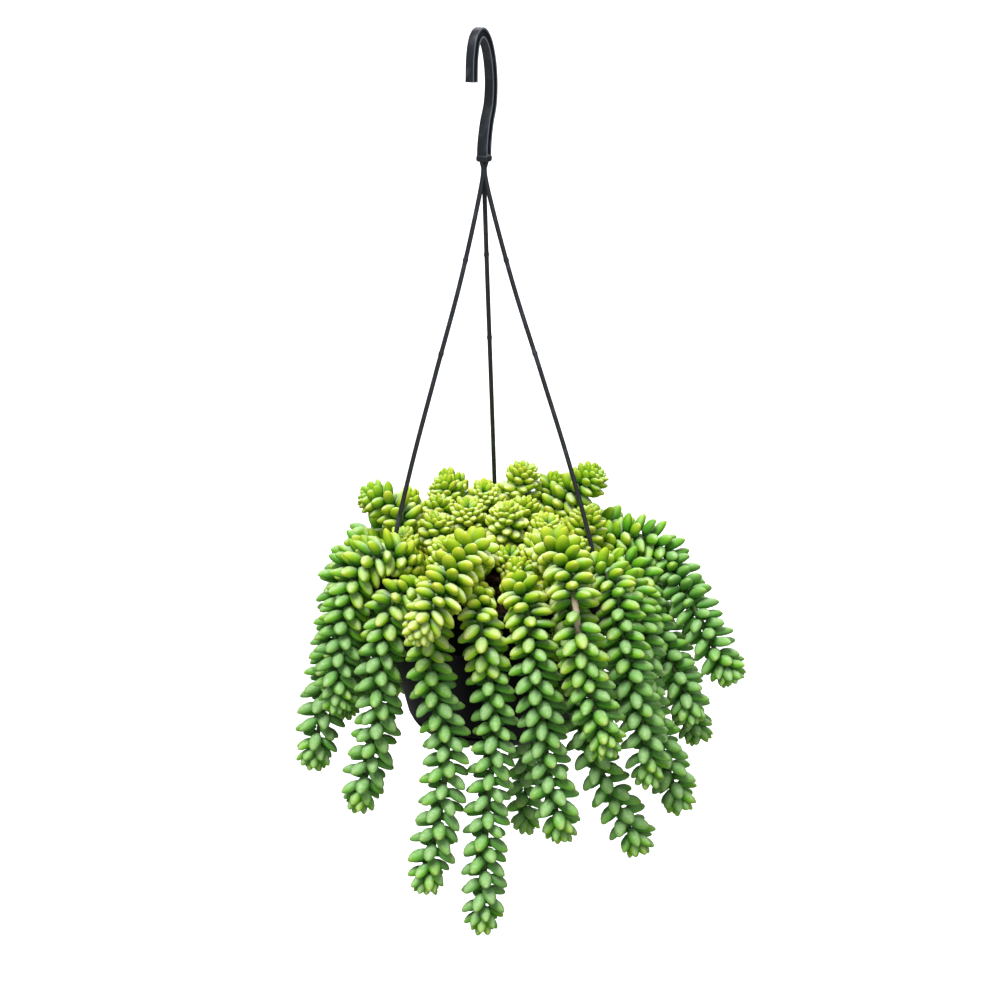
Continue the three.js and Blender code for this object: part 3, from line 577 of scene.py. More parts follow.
def potting_soil():
    """Peat and composted bark: near black to red-brown grains, matt and crumbly."""
    finish = Finish("potting_soil", Specular_IOR_Level=0.25)
    grain = finish.noise(1.4, 8, 0.7)
    tone = finish.attribute("tone")
    brown = finish.ramp(grain + tone * 0.5 - 0.25, [
        (0.3, (0.006, 0.003, 0.002)), (0.5, (0.028, 0.010, 0.005)), (0.68, (0.085, 0.032, 0.016)),
        (0.85, (0.17, 0.085, 0.045)),
    ])
    finish.drive(Base_Color=brown, Roughness=0.85 + grain * 0.15)
    finish.bump(grain + finish.noise(0.5, 4) * 0.4, 0.9)
    return finish.material


earth = potting_soil()
top_radius = np.linspace(0.3, SOIL_RINGS[-1][0] - 0.6, 70)
top_height = np.interp(top_radius, *zip(*SOIL_RINGS))
wall = [
    (COLLAR_FOOT_RADIUS - SOIL_INSET, COLLAR_BOTTOM + WALL),
    (CONE_TOP_RADIUS - SOIL_INSET, COLLAR_BOTTOM - WALL),
    (CONE_BOTTOM_RADIUS - SOIL_INSET - 0.1, CONE_BOTTOM + WALL + GAP),
    (0.3, CONE_BOTTOM + WALL + GAP),
]
wall_radius, wall_height = (np.array(values) for values in zip(*wall))
soil_angle = np.linspace(0, 2 * np.pi, 180, endpoint=False)
soil_radius = np.concatenate([top_radius, wall_radius])[:, None]
soil_x, soil_y = soil_radius * np.cos(soil_angle), soil_radius * np.sin(soil_angle)
rough = np.concatenate([np.ones(len(top_radius)), np.zeros(len(wall))])[:, None]
soil_z = np.concatenate([top_height, wall_height])[:, None] + (crumble(soil_x, soil_y) - SOIL_SINK) * rough
soil_shell = outward(*skin(np.stack([soil_x, soil_y, soil_z], -1)))
soil = make_piece("soil_top", soil_shell, [earth], tone=np.full(len(soil_shell[0]), 0.5))
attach(soil, "root")
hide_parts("soil")

# ---- crumbs on the soil -------------------------------------------------------------------------
# Loose crumbs of bark and peat, one to four millimetres across, lie all over the soil's top. They are the
# same mix as the soil, and stand for no solid of their own.
CRUMB_COUNT = 900
CRUMB_CIRCLE = 66.0
CRUMB_SINK = 0.6
CRUMB_RINGS = 4
CRUMB_SIDES = 6


def crumbs(count, seed=11):
    """Loose crumbs: small balls of rings and sides, each with its own stretch, turn and knobbly radii, spread
    evenly over a circle, and a shade of brown for each."""
    draw = np.random.default_rng(seed)
    radius = CRUMB_CIRCLE * np.sqrt(draw.uniform(0, 1, count))
    angle = draw.uniform(0, 2 * np.pi, count)
    x, y = radius * np.cos(angle), radius * np.sin(angle)
    z = np.interp(radius, *zip(*SOIL_RINGS)) + crumble(x, y) - CRUMB_SINK
    polar = np.linspace(0.35, np.pi - 0.35, CRUMB_RINGS)[:, None]
    azimuth = np.linspace(0, 2 * np.pi, CRUMB_SIDES, endpoint=False)[None]
    plan = [np.sin(polar) * np.cos(azimuth), np.sin(polar) * np.sin(azimuth)]
    ball = np.stack([*plan, np.cos(polar) + 0 * azimuth], -1)
    size = draw.uniform(0.7, 2.0, (count, 1, 1, 1)) * draw.uniform(0.5, 1.2, (count, 1, 1, 3))
    knobs = draw.uniform(0.75, 1.25, (count, CRUMB_RINGS, CRUMB_SIDES, 1))
    turn = np.linalg.qr(draw.normal(size=(count, 3, 3)))[0]
    shapes = np.einsum("nij,nabj->nabi", turn, ball * size * knobs)
    shapes += np.stack([x, y, z], -1)[:, None, None]
    tone = np.repeat(draw.uniform(0, 1, count), CRUMB_RINGS * CRUMB_SIDES + 2)
    return joined([outward(*skin(shape)) for shape in shapes]), tone


crumb_shell, crumb_tone = crumbs(CRUMB_COUNT)
loose = make_piece("soil_crumbs", crumb_shell, [earth], tone=crumb_tone)
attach(loose, "root")

# ---- where the stems run ------------------------------------------------------------------------
# The plant's fleshy stems root in the soil, climb over the rim and hang, or stand up in the crown. Each is
# a line through a few places, moved apart from its neighbours until its leaves have room, as the plant does.
# A tail: how far its leaves reach, its root's plan angle and distance from the axis, then its places.
TAILS = {
    "tail_01": (14.5, (188, 54), [
        (-67, -11, 23), (-86, -16, 14), (-95, -20, -16), (-103, -25, -61), (-114, -28, -117),
    ]),
    "tail_02": (14, (219, 54), [(-60, -53, 33), (-80, -57, 16), (-92, -56, -30), (-93, -58, -66)]),
    "tail_03": (13, (170, 55), [(-70, 14, 20), (-88, 15, 6), (-92, 14, -40), (-98, 8, -99)]),
    "tail_04": (13.5, (231, 54), [(-50, -64, 12), (-67, -69, -25), (-71, -64, -80), (-83, -58, -130)]),
    "tail_05": (14.5, (246, 36), [(-11, -60, 37), (-23, -88, 28), (-38, -106, 10), (-43, -112, -1)]),
    "tail_06": (13.5, (244, 54), [
        (-32, -74, 10), (-37, -88, -25), (-29, -88, -65), (-27, -88, -88), (-33, -88, -128), (-41, -88, -171),
    ]),
    "tail_07": (12.8, (263, 54), [
        (-6, -72, 12), (1, -88, -25), (4, -88, -58), (-1, -88, -90), (-4, -88, -130), (-6, -88, -197.5),
    ]),
    "tail_08": (12.5, (80, 54), [(18, 76, 18), (23, 92, -25), (22, 84, -214)]),
    "tail_09": (14, (284, 52), [
        (16, -62, 20), (26, -86, -10), (30, -88, -50), (34, -88, -95), (42, -86, -138),
    ]),
    "tail_10": (14, (309, 40), [
        (37, -52, 33), (43, -78, 22), (46, -94, 1), (54, -104, -28), (68, -112, -73),
    ]),
    "tail_11": (13.5, (321, 54), [
        (62, -50, 26), (77, -64, 2), (83, -77, -32), (90, -82, -70), (94, -84, -103),
    ]),
    "tail_12": (13, (298, 54), [
        (34, -66, 16), (41, -82, -25), (47, -78, -50), (63, -74, -95), (91, -68, -155),
    ]),
    "tail_13": (14, (335, 54), [
        (72, -29, 16), (90, -46, -12), (98, -53, -60), (106, -53, -100), (117, -50, -135),
    ]),
    "tail_14": (13, (347, 54), [
        (72, -18, 18), (87, -35, 2), (95.5, -43, -22), (104.5, -46, -46), (114, -46, -66), (120, -44, -81),
    ]),
    "tail_15": (12.5, (16, 54), [
        (79, 20, 8), (96, 18, -10), (108, 11, -35), (118, 1, -68), (131, -12, -107),
    ]),
    "tail_16": (14, (3, 50), [
        (74, 0, 20), (94, -9, 10), (109, -20, -3), (122.5, -28, -16), (132.5, -33, -31), (142, -36, -46),
        (148, -38, -56),
    ]),
}
BARE = {"tail_10": (0.51, 0.575)}  # a stretch that has lost its leaves, in shares of the stem's length
# Round the back the tails hang evenly, at these plan angles and to these depths.
BACK_TAILS = [(29, 115), (45, 150), (60, 118), (98, 120), (116, 125), (134, 105), (152, 100)]
BACK_REACH = 13
BACK_ROOT = 54
for number, (degrees, drop) in enumerate(BACK_TAILS, len(TAILS) + 1):
    stands = ((78, 26), (95, 0), (99, -drop / 2), (97, -drop))
    way = [on_circle(out, degrees, height) for out, height in stands]
    TAILS[f"tail_{number}"] = (BACK_REACH, (degrees, BACK_ROOT), way)
# The crown's short stems stand up and lean, and are given in the same way.
CROWN = {
    "crown_01": (12.5, (172, 38), [(-46, 7, 28), (-62, 9, 43), (-81, 10, 49)]),
    "crown_02": (12.5, (120, 32), [(-22, 31, 28), (-35, 33, 50)]),
    "crown_03": (12.5, (38, 34), [(44, 24, 38), (54, 22, 50), (66, 20, 61)]),
    "crown_04": (12.5, (72, 32), [(13, 31, 30), (21, 32, 61)]),
    "crown_05": (14, (60, 10), [(5, 4, 26), (5, -14, 48)]),
    "crown_06": (11, (192, 27), [(-28, -6, 24), (-30, -12, 42)]),
    "crown_07": (11, (150, 13), [(-13, 4, 26), (-12, -10, 46)]),
    "crown_08": (12.5, (0, 24), [(28, -2, 20), (33, -12, 36)]),
    "crown_09": (9, (312, 15), [(13, -14, 15), (14, -22, 26)]),
    "crown_10": (10, (240, 19), [(-10, -20, 18), (-10, -30, 30)]),
    "crown_11": (10, (297, 32), [(21, -36, 14), (29, -46, 21)]),
    "crown_12": (12, (84, 43), [(6, 49, 24), (16, 58, 42)]),
    "crown_13": (12, (58, 38), [(30, 41, 26), (45, 52, 46)]),
    "crown_14": (12, (111, 42), [(-18, 43, 28), (-33, 52, 47)]),
    "crown_15": (11.5, (207, 40), [(-46, -20, 20), (-58, -28, 34)]),
    "crown_16": (12, (141, 42), [(-42, 25, 28), (-58, 27, 43)]),
    "crown_17": (12, (350, 38), [(44, -7, 26), (57, -10, 45)]),
    "crown_18": (12, (105, 22), [(-8, 18, 28), (-6, 10, 52)]),
    "crown_19": (11, (57, 20), [(14, 17, 24), (17, 16, 44)]),
    "crown_20": (10.5, (225, 33), [(-27, -30, 18), (-28, -37, 32)]),
    "crown_21": (10.5, (330, 28), [(29, -20, 18), (36, -26, 32)]),
    "crown_22": (10.5, (165, 26), [(-27, 9, 26), (-30, 10, 46)]),
    "crown_23": (10.5, (98, 31), [(-6, 34, 26), (-8, 38, 42)]),
    "crown_24": (10.5, (332, 44), [(44, -26, 20), (50, -31, 34)]),
    "crown_25": (10.5, (5, 36), [(40, 6, 22), (46, 10, 36)]),
}
FIRST_LEAF = 3.5  # height over the soil at which a stem's line starts
STEP = 9.0  # from point to point of a line while it settles
ROUNDS = 90
EASE = 0.45  # share of the missing room that a round makes up
STEM_GAP = 1.2  # between the leaves of neighbouring stems
ROOT_LIMIT = 55.0  # a root stays within this radius
YIELD = np.array([0.65, 1.0, 0.6])  # how readily stems give way across, in depth and in height
LONGEST_PUSH = 3.0
POT_PUSH = 0.8
BEND_DEPTH = 1.6  # how far a point may stand off the chord between its neighbours
STIFFNESS = 0.5  # share of anything past that which a round takes away
BARE_RADIUS = 2.6  # the least room that a stem has
STRAND_ROOM = 0.4  # kept free round a strand
KNOB_ROOM = 5.0  # under the flange, for the strands' knobs


def reach_at(reach, s, length):
    """How far leaves reach at a distance along a stem: from 4.4 mm at the root it grows by 0.27 mm a
    millimetre up to the stem's own reach, and at the tip it closes in a quarter circle to 0.42 of that."""
    left = np.clip((length - s) / (1.3 * reach), 0, 1)
    dome = 0.42 + 0.58 * np.sqrt(1 - (1 - left) ** 2)
    return np.minimum(np.minimum(reach, 4.4 + 0.27 * s), reach * dome)


# Outline of the filled pot and its saucer, as (radius, height), from the middle of the soil outwards and down
# to the middle of the saucer's underside.
POT_OUTLINE = np.array([
    *SOIL_RINGS,
    (MOUTH_RADIUS, 0),
    (RIM_RADIUS, 0),
    (RIM_RADIUS, -RIM_THICKNESS - KNOB_ROOM),
    (COLLAR_RADIUS, -RIM_THICKNESS - (KNOB_ROOM + 0.5)),
    (COLLAR_FOOT_RADIUS, COLLAR_BOTTOM),
    (CONE_TOP_RADIUS, COLLAR_BOTTOM),
    (CONE_BOTTOM_RADIUS, CONE_BOTTOM),
    (SAUCER_RIM_RADIUS, SAUCER_RIM),
    (FOOT_RADIUS, saucer_floor - SAUCER_FLOOR),
    (0, saucer_floor - SAUCER_FLOOR),
])


def off_the_pot(points):
    """Each point's distance from the outline of the filled pot, and the way out from it: the nearest place
    on each side of the outline is the point's share of the way along it, kept between its ends."""
    radius = np.hypot(points[:, 0], points[:, 1])
    place = np.stack([radius, points[:, 2]], -1)[:, None]
    start, side = POT_OUTLINE[:-1], np.diff(POT_OUTLINE, axis=0)
    share = np.clip(((place - start) * side).sum(-1) / (side**2).sum(-1), 0, 1)
    away = place - start - share[..., None] * side
    distance = np.linalg.norm(away, axis=-1)
    nearest = distance.argmin(1)
    rows = np.arange(len(points))
    away = away[rows, nearest] / distance[rows, nearest][:, None]
    plan = points[:, :2] / np.maximum(radius, 1e-6)[:, None]
    return distance[rows, nearest], np.concatenate([plan * away[:, :1], away[:, 1:]], -1)


def settled(chains, wants, moving):
    """Moves the points of the first chains apart until their leaves have room. In each round every point is
    pushed from those of other chains and off the pot, shares its move with its neighbours, and is pulled
    back where it stands too far off the chord between them."""
    points, want = np.concatenate(chains), np.concatenate(wants)
    sizes = [len(chain) for chain in chains]
    owner = np.repeat(np.arange(len(chains)), sizes)
    need = want[:, None] + want[None] + STEM_GAP
    strangers = owner[:, None] != owner[None]
    free = owner < moving
    ends = np.cumsum(sizes)
    before, after = np.arange(len(points)) - 1, np.arange(len(points)) + 1
    roots = np.concatenate([[0], ends[:-1]])
    before[roots], after[ends - 1] = roots, ends - 1
    roots = roots[:moving]
    bends = free.copy()
    bends[roots], bends[ends[:moving] - 1] = False, False
    for _ in range(ROUNDS):
        apart = points[:, None] - points[None]
        distance = np.sqrt((apart**2).sum(-1))
        close = strangers & (distance < need)
        push = np.where(close, EASE * (need - distance - 1e-6) / (distance + 1e-6), 0)
        move = np.einsum("ij,ijk->ik", push, apart) * YIELD
        size = np.linalg.norm(move, axis=1, keepdims=True)
        move *= np.minimum(1, LONGEST_PUSH / np.maximum(size, 1e-9))
        clear, away = off_the_pot(points)
        move += away * np.maximum(POT_PUSH * (want + STEM_GAP - clear), 0)[:, None]
        move[roots, 2] = 0
        move = (2 * move + move[before] + move[after]) / 4
        shift = move * free[:, None]
        shift[roots, 2] = 0
        points = points + shift
        out = np.hypot(*points[roots, :2].T)[:, None]
        points[roots, :2] *= np.minimum(1, ROOT_LIMIT / out)
        pull = (points[before] + points[after]) / 2 - points
        depth = np.linalg.norm(pull, axis=1)
        pull *= (STIFFNESS * np.maximum(depth - BEND_DEPTH, 0) / np.maximum(depth, 1e-9))[:, None]
        points = points + pull * bends[:, None]
    return np.split(points, ends[:-1])


plans = {**TAILS, **CROWN}
chains, wants = [], []
for reach, (degrees, out), way in plans.values():
    root = on_circle(out, degrees, np.interp(out, *zip(*SOIL_RINGS)) + FIRST_LEAF)
    points, length = evenly(smooth_line([root, *way]), STEP)
    chains.append(points)
    wants.append(reach_at(reach, np.linspace(0, length, len(points)), length))
for degrees in STRAND_ANGLES:
    points, _ = evenly(strand_line(degrees), STEP)
    chains.append(points)
    wants.append(np.full(len(points), STRAND_RADIUS + STRAND_ROOM))
chains = settled(chains, wants, moving=len(plans))


def room_along(number, line, want):
    """Room for the leaves at each point of a line: its share of the way to each neighbour, and the way to
    the pot and the strands."""
    room = np.minimum(want, off_the_pot(line)[0] - 0.6 * STEM_GAP)
    for other, (chain, reach) in enumerate(zip(chains, wants)):
        if other == number:
            continue
        side = np.diff(chain, axis=0)
        share = np.clip(((line[:, None] - chain[:-1]) * side).sum(-1) / (side**2).sum(-1), 0, 1)
        distance = np.linalg.norm(line[:, None] - chain[:-1] - share[..., None] * side, axis=-1)
        if other < len(plans):
            theirs = reach[:-1] + share * np.diff(reach)
            limit = (distance - STEM_GAP) * want[:, None] / (want[:, None] + theirs)
        else:
            limit = distance - STRAND_RADIUS - 0.6 * STEM_GAP
        room = np.minimum(room, limit.min(1))
    return np.maximum(room, BARE_RADIUS)


# ---- leafy stems --------------------------------------------------------------------------------
# Plump leaves stand all round each stem in a spiral, a golden angle apart, closer and smaller towards the
# tip, where they close into a bud. They are smooth and waxy: yellow-green with ochre points in the sun of
# the crown, blue-green with a pale bloom further down. Their colours also hold painted light: lighter in the
# sunlit crown and on upward faces, with painted shade at each leaf's root and underside.
GOLDEN_ANGLE = math.pi * (3 - math.sqrt(5))
LEAF_LENGTH = 14.7  # buried root end included
LEAF_WIDTH = 8.4
LEAF_RINGS = 6
LEAF_SIDES = 8
LEAF_POINTS = LEAF_RINGS * LEAF_SIDES + 2
LEAF_SPACING = 1.2  # along the stem, from one leaf to the next
LOW_SPACING = 0.7  # what is added to it low on a tail
BARE_SPACING = 6.0
LOW_START = 20.0  # height at which a tail begins to count as low
LOW_RANGE = 110.0  # and how much further down it counts in full
BUD_REACHES = 1.4  # length of the bud at a stem's tip, in reaches of its leaves
BUD_LEAN = 14.0  # degrees between a leaf at the tip and its stem
OPEN_LEAN = 70.0  # degrees more below the bud
LOW_LEAN = 3.0  # degrees less low on a tail
LEAF_OVERLAP = 2.5  # how far leaves may reach past their room, in among their neighbours
LEAFLESS_END = 4.5
SHORTEST_LEAF = 0.82  # share of its length that a leaf keeps where room is short
# How close the leaves stand at the tip of the bud, and how small they are there, as shares of what they are
# below it, and how much of the stem's end carries none.
TAIL_BUD = (0.12, 0.5, LEAFLESS_END)
CROWN_BUD = (0.06, 0.37, 0.6 * LEAFLESS_END)
STEM_RADIUS = 1.9
STEM_SIDES = 10
FOOT_DEPTH = 12.0  # how deep a stem's foot stands in the soil
SUN_MIDDLE = [0, -22, 34]
SUN_REACH = [106, 124, 80]
SUNNED = {"tail_05": 0.5, "tail_10": 0.12}  # more sun colour and painted light by this much: they lie over the others, in full sun


def waxy_leaf():
    """Leaf skin: green by its place on the plant, partly as painted light, darker at its root and its
    underside as painted shade, paler and yellower to the point, under a patchy bloom that is whitened on
    upward faces as a painted highlight."""
    finish = Finish(
        "waxy_leaf", Subsurface_Weight=0.15, Subsurface_Scale=0.002, Subsurface_Radius=(0.6, 1.3, 0.2),
        IOR=1.42, Specular_IOR_Level=0.2,
    )
    along, ripe, tone, lit = (finish.attribute(name) for name in ("along", "ripe", "tone", "lit"))
    patch = finish.noise(5, 3)
    # Painted light: upward-facing points are pushed a little towards the lighter, yellower end.
    tint_and_light = ripe * 0.9 + (patch - 0.5) * 0.45 + (tone - 0.5) * 0.4 + lit * 0.1
    flesh = finish.ramp(tint_and_light, [
        (0.0, (0.14, 0.34, 0.085)), (0.28, (0.08, 0.32, 0.012)), (0.6, (0.17, 0.42, 0.006)),
        (1.0, (0.33, 0.53, 0.010)),
    ])
    # Painted shade: a deeper, darker green at each leaf's root, where the leaves crowd, and on its underside.
    shaded = finish.rise(along, 0.12, 0.62) * finish.rise(lit, -0.9, 0.35)
    flesh = finish.mix(shaded, finish.mix(ripe, (0.085, 0.30, 0.035), (0.035, 0.17, 0.001)), flesh)
    point = finish.ramp(tint_and_light, [
        (0.0, (0.20, 0.39, 0.07)), (0.3, (0.19, 0.44, 0.02)), (0.6, (0.40, 0.55, 0.02)),
        (1.0, (0.60, 0.64, 0.05)),
    ])
    colored = finish.mix(finish.rise(along, 0.45, 1.0) * 0.7, flesh, point)
    blush = finish.rise(along, 0.88, 1.0) * finish.rise(tone, 0.4, 1.0) * 0.25
    colored = finish.mix(blush, colored, (0.62, 0.36, 0.14))
    powder = finish.rise(finish.noise(2.2, 5), 0.4, 0.75)
    # The leaves' real waxy bloom, laid only on upward faces, so that it is also a painted highlight.
    bloom_and_highlight = finish.rise(lit, 0.25, 1.0) * (0.2 + ripe * 0.22 + powder * 0.28)
    colored = finish.mix(bloom_and_highlight, colored, finish.mix(ripe, (0.60, 0.78, 0.50), (0.88, 0.93, 0.66)))
    finish.drive(Base_Color=colored, Roughness=0.36 + patch * 0.2)
    finish.bump(finish.noise(1.3, 3) * 0.7 + finish.noise(0.35, 2) * 0.3, 0.12)
    return finish.material


def stem_bark():
    """Stem skin: fleshy green among the leaves, made darker there as painted shade, dry and tan where they
    have dropped, which the stem's points say in their field along."""
    finish = Finish("stem_bark", Subsurface_Weight=0.1, Subsurface_Scale=0.002)
    bark = finish.attribute("along")
    streak = finish.noise(1.5, 4)
    # Partly the stem's own green, partly painted shade: darker than the real stems, for the shade between the
    # leaves.
    shade_darkened_green = finish.mix(streak, (0.04, 0.10, 0.015), (0.10, 0.19, 0.03))
    tan = finish.mix(streak, (0.42, 0.30, 0.19), (0.66, 0.56, 0.42))
    finish.drive(Base_Color=finish.mix(bark, shade_darkened_green, tan), Roughness=0.5 + bark * 0.25)
    finish.bump(streak, 0.25)
    return finish.material


def leaf_form(length, width, bend):
    """Points of leaves along their own axes: (leaf, ring, side) of (outwards, sideways, towards the stem's
    tip), with the rings' shares of the length and the leaves' points. Half the width at a share t of the
    length goes as t to 0.55 times (1 - t) to 0.52, so that the leaf is widest in its middle and bluntly
    pointed. The side towards the stem's tip is flatter, and the axis bends that way by bend times t squared
    times the length."""
    t = 0.5 - 0.5 * np.cos(np.linspace(0.16, 0.92, LEAF_RINGS) * np.pi)
    swell = t**0.55 * (1 - t) ** 0.52
    swell = swell / swell.max()
    angle = np.linspace(0, 2 * np.pi, LEAF_SIDES, endpoint=False)
    outwards = length[:, None, None] * t[None, :, None] + 0 * angle
    half = width[:, None, None] / 2 * swell[None, :, None]
    sideways = half * np.cos(angle)
    lift = half * np.sin(angle) * np.where(np.sin(angle) > 0, 0.62, 0.80)
    onward = lift + (bend * length)[:, None, None] * (t**2)[None, :, None]
    ends = np.stack([0.99 * length, 0 * length, 0.98 * (bend * length)], -1)
    return np.stack([outwards, sideways, onward], -1), t, ends


def facing_up(out, side, on):
    """How far each point of the leaves faces up: the height of its direction from the leaf's axis, which is
    the leaf's two cross directions times cosine and sine. The root counts 0, the point the axis's own."""
    angle = np.linspace(0, 2 * np.pi, LEAF_SIDES, endpoint=False)
    round_axis = side[:, 2:] * np.cos(angle) + on[:, 2:] * np.sin(angle)
    return np.concatenate([np.tile(round_axis, LEAF_RINGS), 0 * out[:, 2:], out[:, 2:]], 1)


def leaf_shell(forms, ends, out, side, on, base):
    """Leaves set at their bases on their own directions, as one shell: rings of four-sided faces with a
    fan to the base and one to the point."""
    count = len(forms)
    turn = np.stack([out, side, on], 1)
    rings = np.einsum("nabk,nkj->nabj", forms, turn) + base[:, None, None]
    tips = np.einsum("nk,nkj->nj", ends, turn) + base
    ring_points = LEAF_RINGS * LEAF_SIDES
    points = np.concatenate([rings.reshape(count, ring_points, 3), base[:, None], tips[:, None]], 1)
    # The faces of one leaf, then the same for all, each counting on from its own first point.
    index = np.arange(ring_points).reshape(LEAF_RINGS, LEAF_SIDES)
    onward = np.roll(index, -1, 1)
    quads = np.stack([index[:-1], index[1:], onward[1:], onward[:-1]], -1).reshape(-1, 4)
    root = np.stack([np.full(LEAF_SIDES, ring_points), index[0], onward[0]], -1)
    point = np.stack([np.full(LEAF_SIDES, ring_points + 1), onward[-1], index[-1]], -1)
    fans = np.concatenate([root, point])
    start = (np.arange(count) * LEAF_POINTS)[:, None, None]
    return points.reshape(-1, 3), (quads + start).reshape(-1, 4), (fans + start).reshape(-1, 3)


def sun_tint_and_light_at(places):
    """1 in the sunlit crown and 0 well outside and below it, with a smooth step over the distance from the
    sun's middle, each axis measured by its own reach. It stands partly for the leaves' own sun-yellowed
    colour and partly for painted light, lighter where the light falls."""
    distance = np.linalg.norm((places - SUN_MIDDLE) / SUN_REACH, axis=1)
    share = np.clip((1.36 - distance) / 0.94, 0, 1)
    return share * share * (3 - 2 * share)


leaf_skin, stem_skin = waxy_leaf(), stem_bark()
for number, (name, (reach, _, _)) in enumerate(plans.items()):
    draw = np.random.default_rng(700 + number)
    trailing = name.startswith("tail")
    tightest, smallest, leafless = TAIL_BUD if trailing else CROWN_BUD
    line, length = evenly(smooth_line(chains[number]), 1.0)
    s = np.linspace(0, length, len(line))
    room = room_along(number, line, reach_at(reach, s, length))
    along, across, beside = frames(line)

    # Where leaves sit along the stem: sparser low on a tail, crowded into the bud at its tip.
    low = np.clip((LOW_START - line[:, 2]) / LOW_RANGE, 0, 1) if trailing else 0 * s
    leafy = length - leafless
    below_bud = np.clip((leafy - s) / (BUD_REACHES * reach), 0, 1)
    spacing = (LEAF_SPACING + LOW_SPACING * low) * (tightest + (1 - tightest) * below_bud**1.1)
    if name in BARE:
        first, last = BARE[name]
        spacing = np.where((s > first * length) & (s < last * length), BARE_SPACING, spacing)
    leaves = np.concatenate([[0], np.cumsum(1 / spacing[:-1])]) * (s[1] - s[0])
    at = np.interp(np.arange(int(np.interp(leafy, s, leaves))) + 0.5, leaves, s)
    count = len(at)

    # Each leaf's length and its lean from the stem, cut back to the room that it has.
    opened, hanging, space = (read_along(values, s, at) for values in (below_bud, low, room))
    grown = smallest + (1 - smallest) * opened**0.4
    leaf_length = LEAF_LENGTH * grown * draw.uniform(0.9, 1.08, count)
    lean = np.radians(BUD_LEAN + (OPEN_LEAN - LOW_LEAN * hanging) * opened**0.2)
    lean = lean + draw.normal(0, 0.06, count)
    share = (space + LEAF_OVERLAP - STEM_RADIUS) / leaf_length
    leaf_length = leaf_length * np.clip(share / np.sin(lean), SHORTEST_LEAF, 1)
    lean = np.minimum(lean, np.arcsin(np.clip(share / SHORTEST_LEAF, 0.35, 1)))

    # Its own three directions: outwards along it, sideways, and on towards the stem's tip.
    azimuth = np.arange(count) * GOLDEN_ANGLE + draw.normal(0, 0.06, count)
    forward, right, left = (read_along(values, s, at) for values in (along, across, beside))
    forward = unit(forward)
    radial = unit(right * np.cos(azimuth)[:, None] + left * np.sin(azimuth)[:, None])
    cos, sin = np.cos(lean)[:, None], np.sin(lean)[:, None]
    out = unit(forward * cos + radial * sin)
    on = unit(forward * sin - radial * cos)
    side = np.cross(on, out)
    base = read_along(line, s, at) + radial * STEM_RADIUS * (0.25 + 0.55 * opened**0.4)[:, None]
    width = LEAF_WIDTH * grown * draw.uniform(0.92, 1.08, count)
    bend = draw.uniform(0.08, 0.18, count) + 0.06 * hanging
    forms, shares, ends = leaf_form(leaf_length, width, bend)
    leaf_parts = leaf_shell(forms, ends, out, side, on, base)

    # The stem inside, from its foot in the soil to the last leaf, slimmer to the tip and faintly knotted.
    foot = line[0] - upright * np.linspace(FOOT_DEPTH, 1, 6)[:, None]
    core_line, core_length = evenly(np.concatenate([foot, line[s < leafy]]), 1.5)
    core_s = np.linspace(0, core_length, len(core_line))
    core_radius = STEM_RADIUS * (0.55 + 0.45 * np.clip((core_length - core_s) / 40, 0, 1))
    knots = 0.16 * np.sin(core_s * 2 * np.pi / 4.7) * np.sin(core_s * 2 * np.pi / 13)
    core = tube(core_line, core_radius + knots, STEM_SIDES)

    # What the materials read at each point: first the leaves' points, then the stem's.
    share_along = np.concatenate([np.repeat(shares, LEAF_SIDES), [0, 1]])
    core_points = len(core[0])
    dry = np.zeros(core_points)
    if name in BARE:
        first, last = BARE[name]
        ring_share = np.repeat((core_s - FOOT_DEPTH) / length, STEM_SIDES)
        dry[: len(ring_share)] = (ring_share > first - 0.03) & (ring_share < last + 0.05)
    # Part real sun-yellowed colour, part painted light: more towards the lit crown and the tails on top.
    ripe = np.minimum(sun_tint_and_light_at(base + out * 6) + 0.35 * (1 - opened) * hanging + SUNNED.get(name, 0), 1)
    tone = draw.uniform(0, 1, count)
    fields = {
        "along": np.concatenate([np.tile(share_along, count), dry]),
        "lit": np.concatenate([facing_up(out, side, on).ravel(), np.zeros(core_points)]),
        "ripe": np.concatenate([np.repeat(ripe, LEAF_POINTS), np.zeros(core_points)]),
        "tone": np.concatenate([np.repeat(tone, LEAF_POINTS), np.full(core_points, 0.5)]),
    }
    face_counts = (len(leaf_parts[1]), len(core[1]), len(leaf_parts[2]), len(core[2]))
    skins = np.repeat([0, 1, 0, 1], face_counts)
    stem = make_piece("leafy_" + name, joined([leaf_parts, core]), [leaf_skin, stem_skin], skins, **fields)
    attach(stem, "root")
    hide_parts(name)

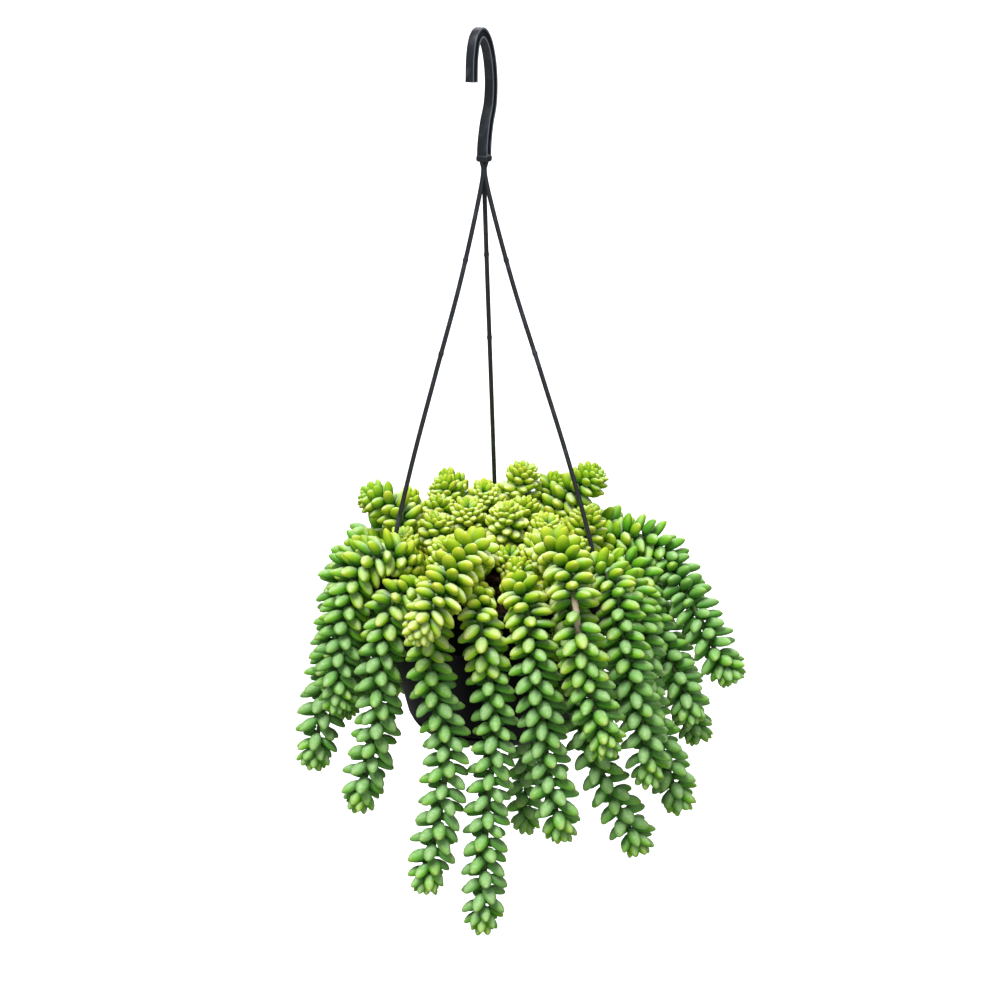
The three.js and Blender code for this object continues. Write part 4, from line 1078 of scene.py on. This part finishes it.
# ---- studio -------------------------------------------------------------------------------------
# A white room: a pale floor well below the plant, soft light from high in front, from behind and back up
# from the floor, and a camera in front that looks a little down.
STUDIO_FLOOR = -1200.0
FLOOR_REACH = 40000.0
CAMERA = np.array([4.4, -1200.0, 400.0])
CAMERA_PITCH = math.radians(16.3)
CAMERA_LENS = 72.6


def pale_floor():
    """Matt white paint with a faint mottle."""
    finish = Finish("pale_floor", Roughness=0.9)
    finish.drive(Base_Color=finish.mix(finish.noise(90, 3), (0.93, 0.93, 0.93), (0.97, 0.97, 0.97)))
    return finish.material


floor_corners = np.array([[-1, -1, 0], [1, -1, 0], [1, 1, 0], [-1, 1, 0]])
floor_points = floor_corners * FLOOR_REACH + [0, 0, STUDIO_FLOOR]
floor_shell = (floor_points, np.array([[0, 1, 2, 3]]), np.zeros((0, 3), int))
floor = make_piece("floor", floor_shell, [pale_floor()])
floor.visible_diffuse = False
floor.visible_glossy = False
floor.visible_shadow = False

camera_data = bpy.data.cameras.new("camera")
camera_data.lens = CAMERA_LENS
camera_data.clip_end = 200
camera = bpy.data.objects.new("camera", camera_data)
camera.location = CAMERA * MM + RIM
camera.rotation_euler = (math.pi / 2 - CAMERA_PITCH, 0, 0)
bpy.context.scene.collection.objects.link(camera)
bpy.context.scene.camera = camera


def sun(name, strength, spread, elevation, azimuth):
    """A broad, even light from a direction, given as degrees above the horizon and round from the front."""
    light = bpy.data.lights.new(name, "SUN")
    light.energy = strength
    light.angle = math.radians(spread)
    lamp = bpy.data.objects.new(name, light)
    lamp.rotation_euler = (math.radians(90 - elevation), 0, math.radians(azimuth))
    bpy.context.scene.collection.objects.link(lamp)


sun("key_light", 4.0, 30, 60, -28)
sun("fill_light", 0.7, 60, 20, 30)
sun("back_light", 1.8, 50, 45, 165)
sun("floor_bounce", 0.9, 120, -60, 0)

world = bpy.data.worlds.new("white_room")
world.use_nodes = True
sky = world.node_tree.nodes["Background"]
sky.inputs["Color"].default_value = (1, 1, 1, 1)
sky.inputs["Strength"].default_value = 0.2
bpy.context.scene.world = world
bpy.context.scene.view_settings.view_transform = "Standard"
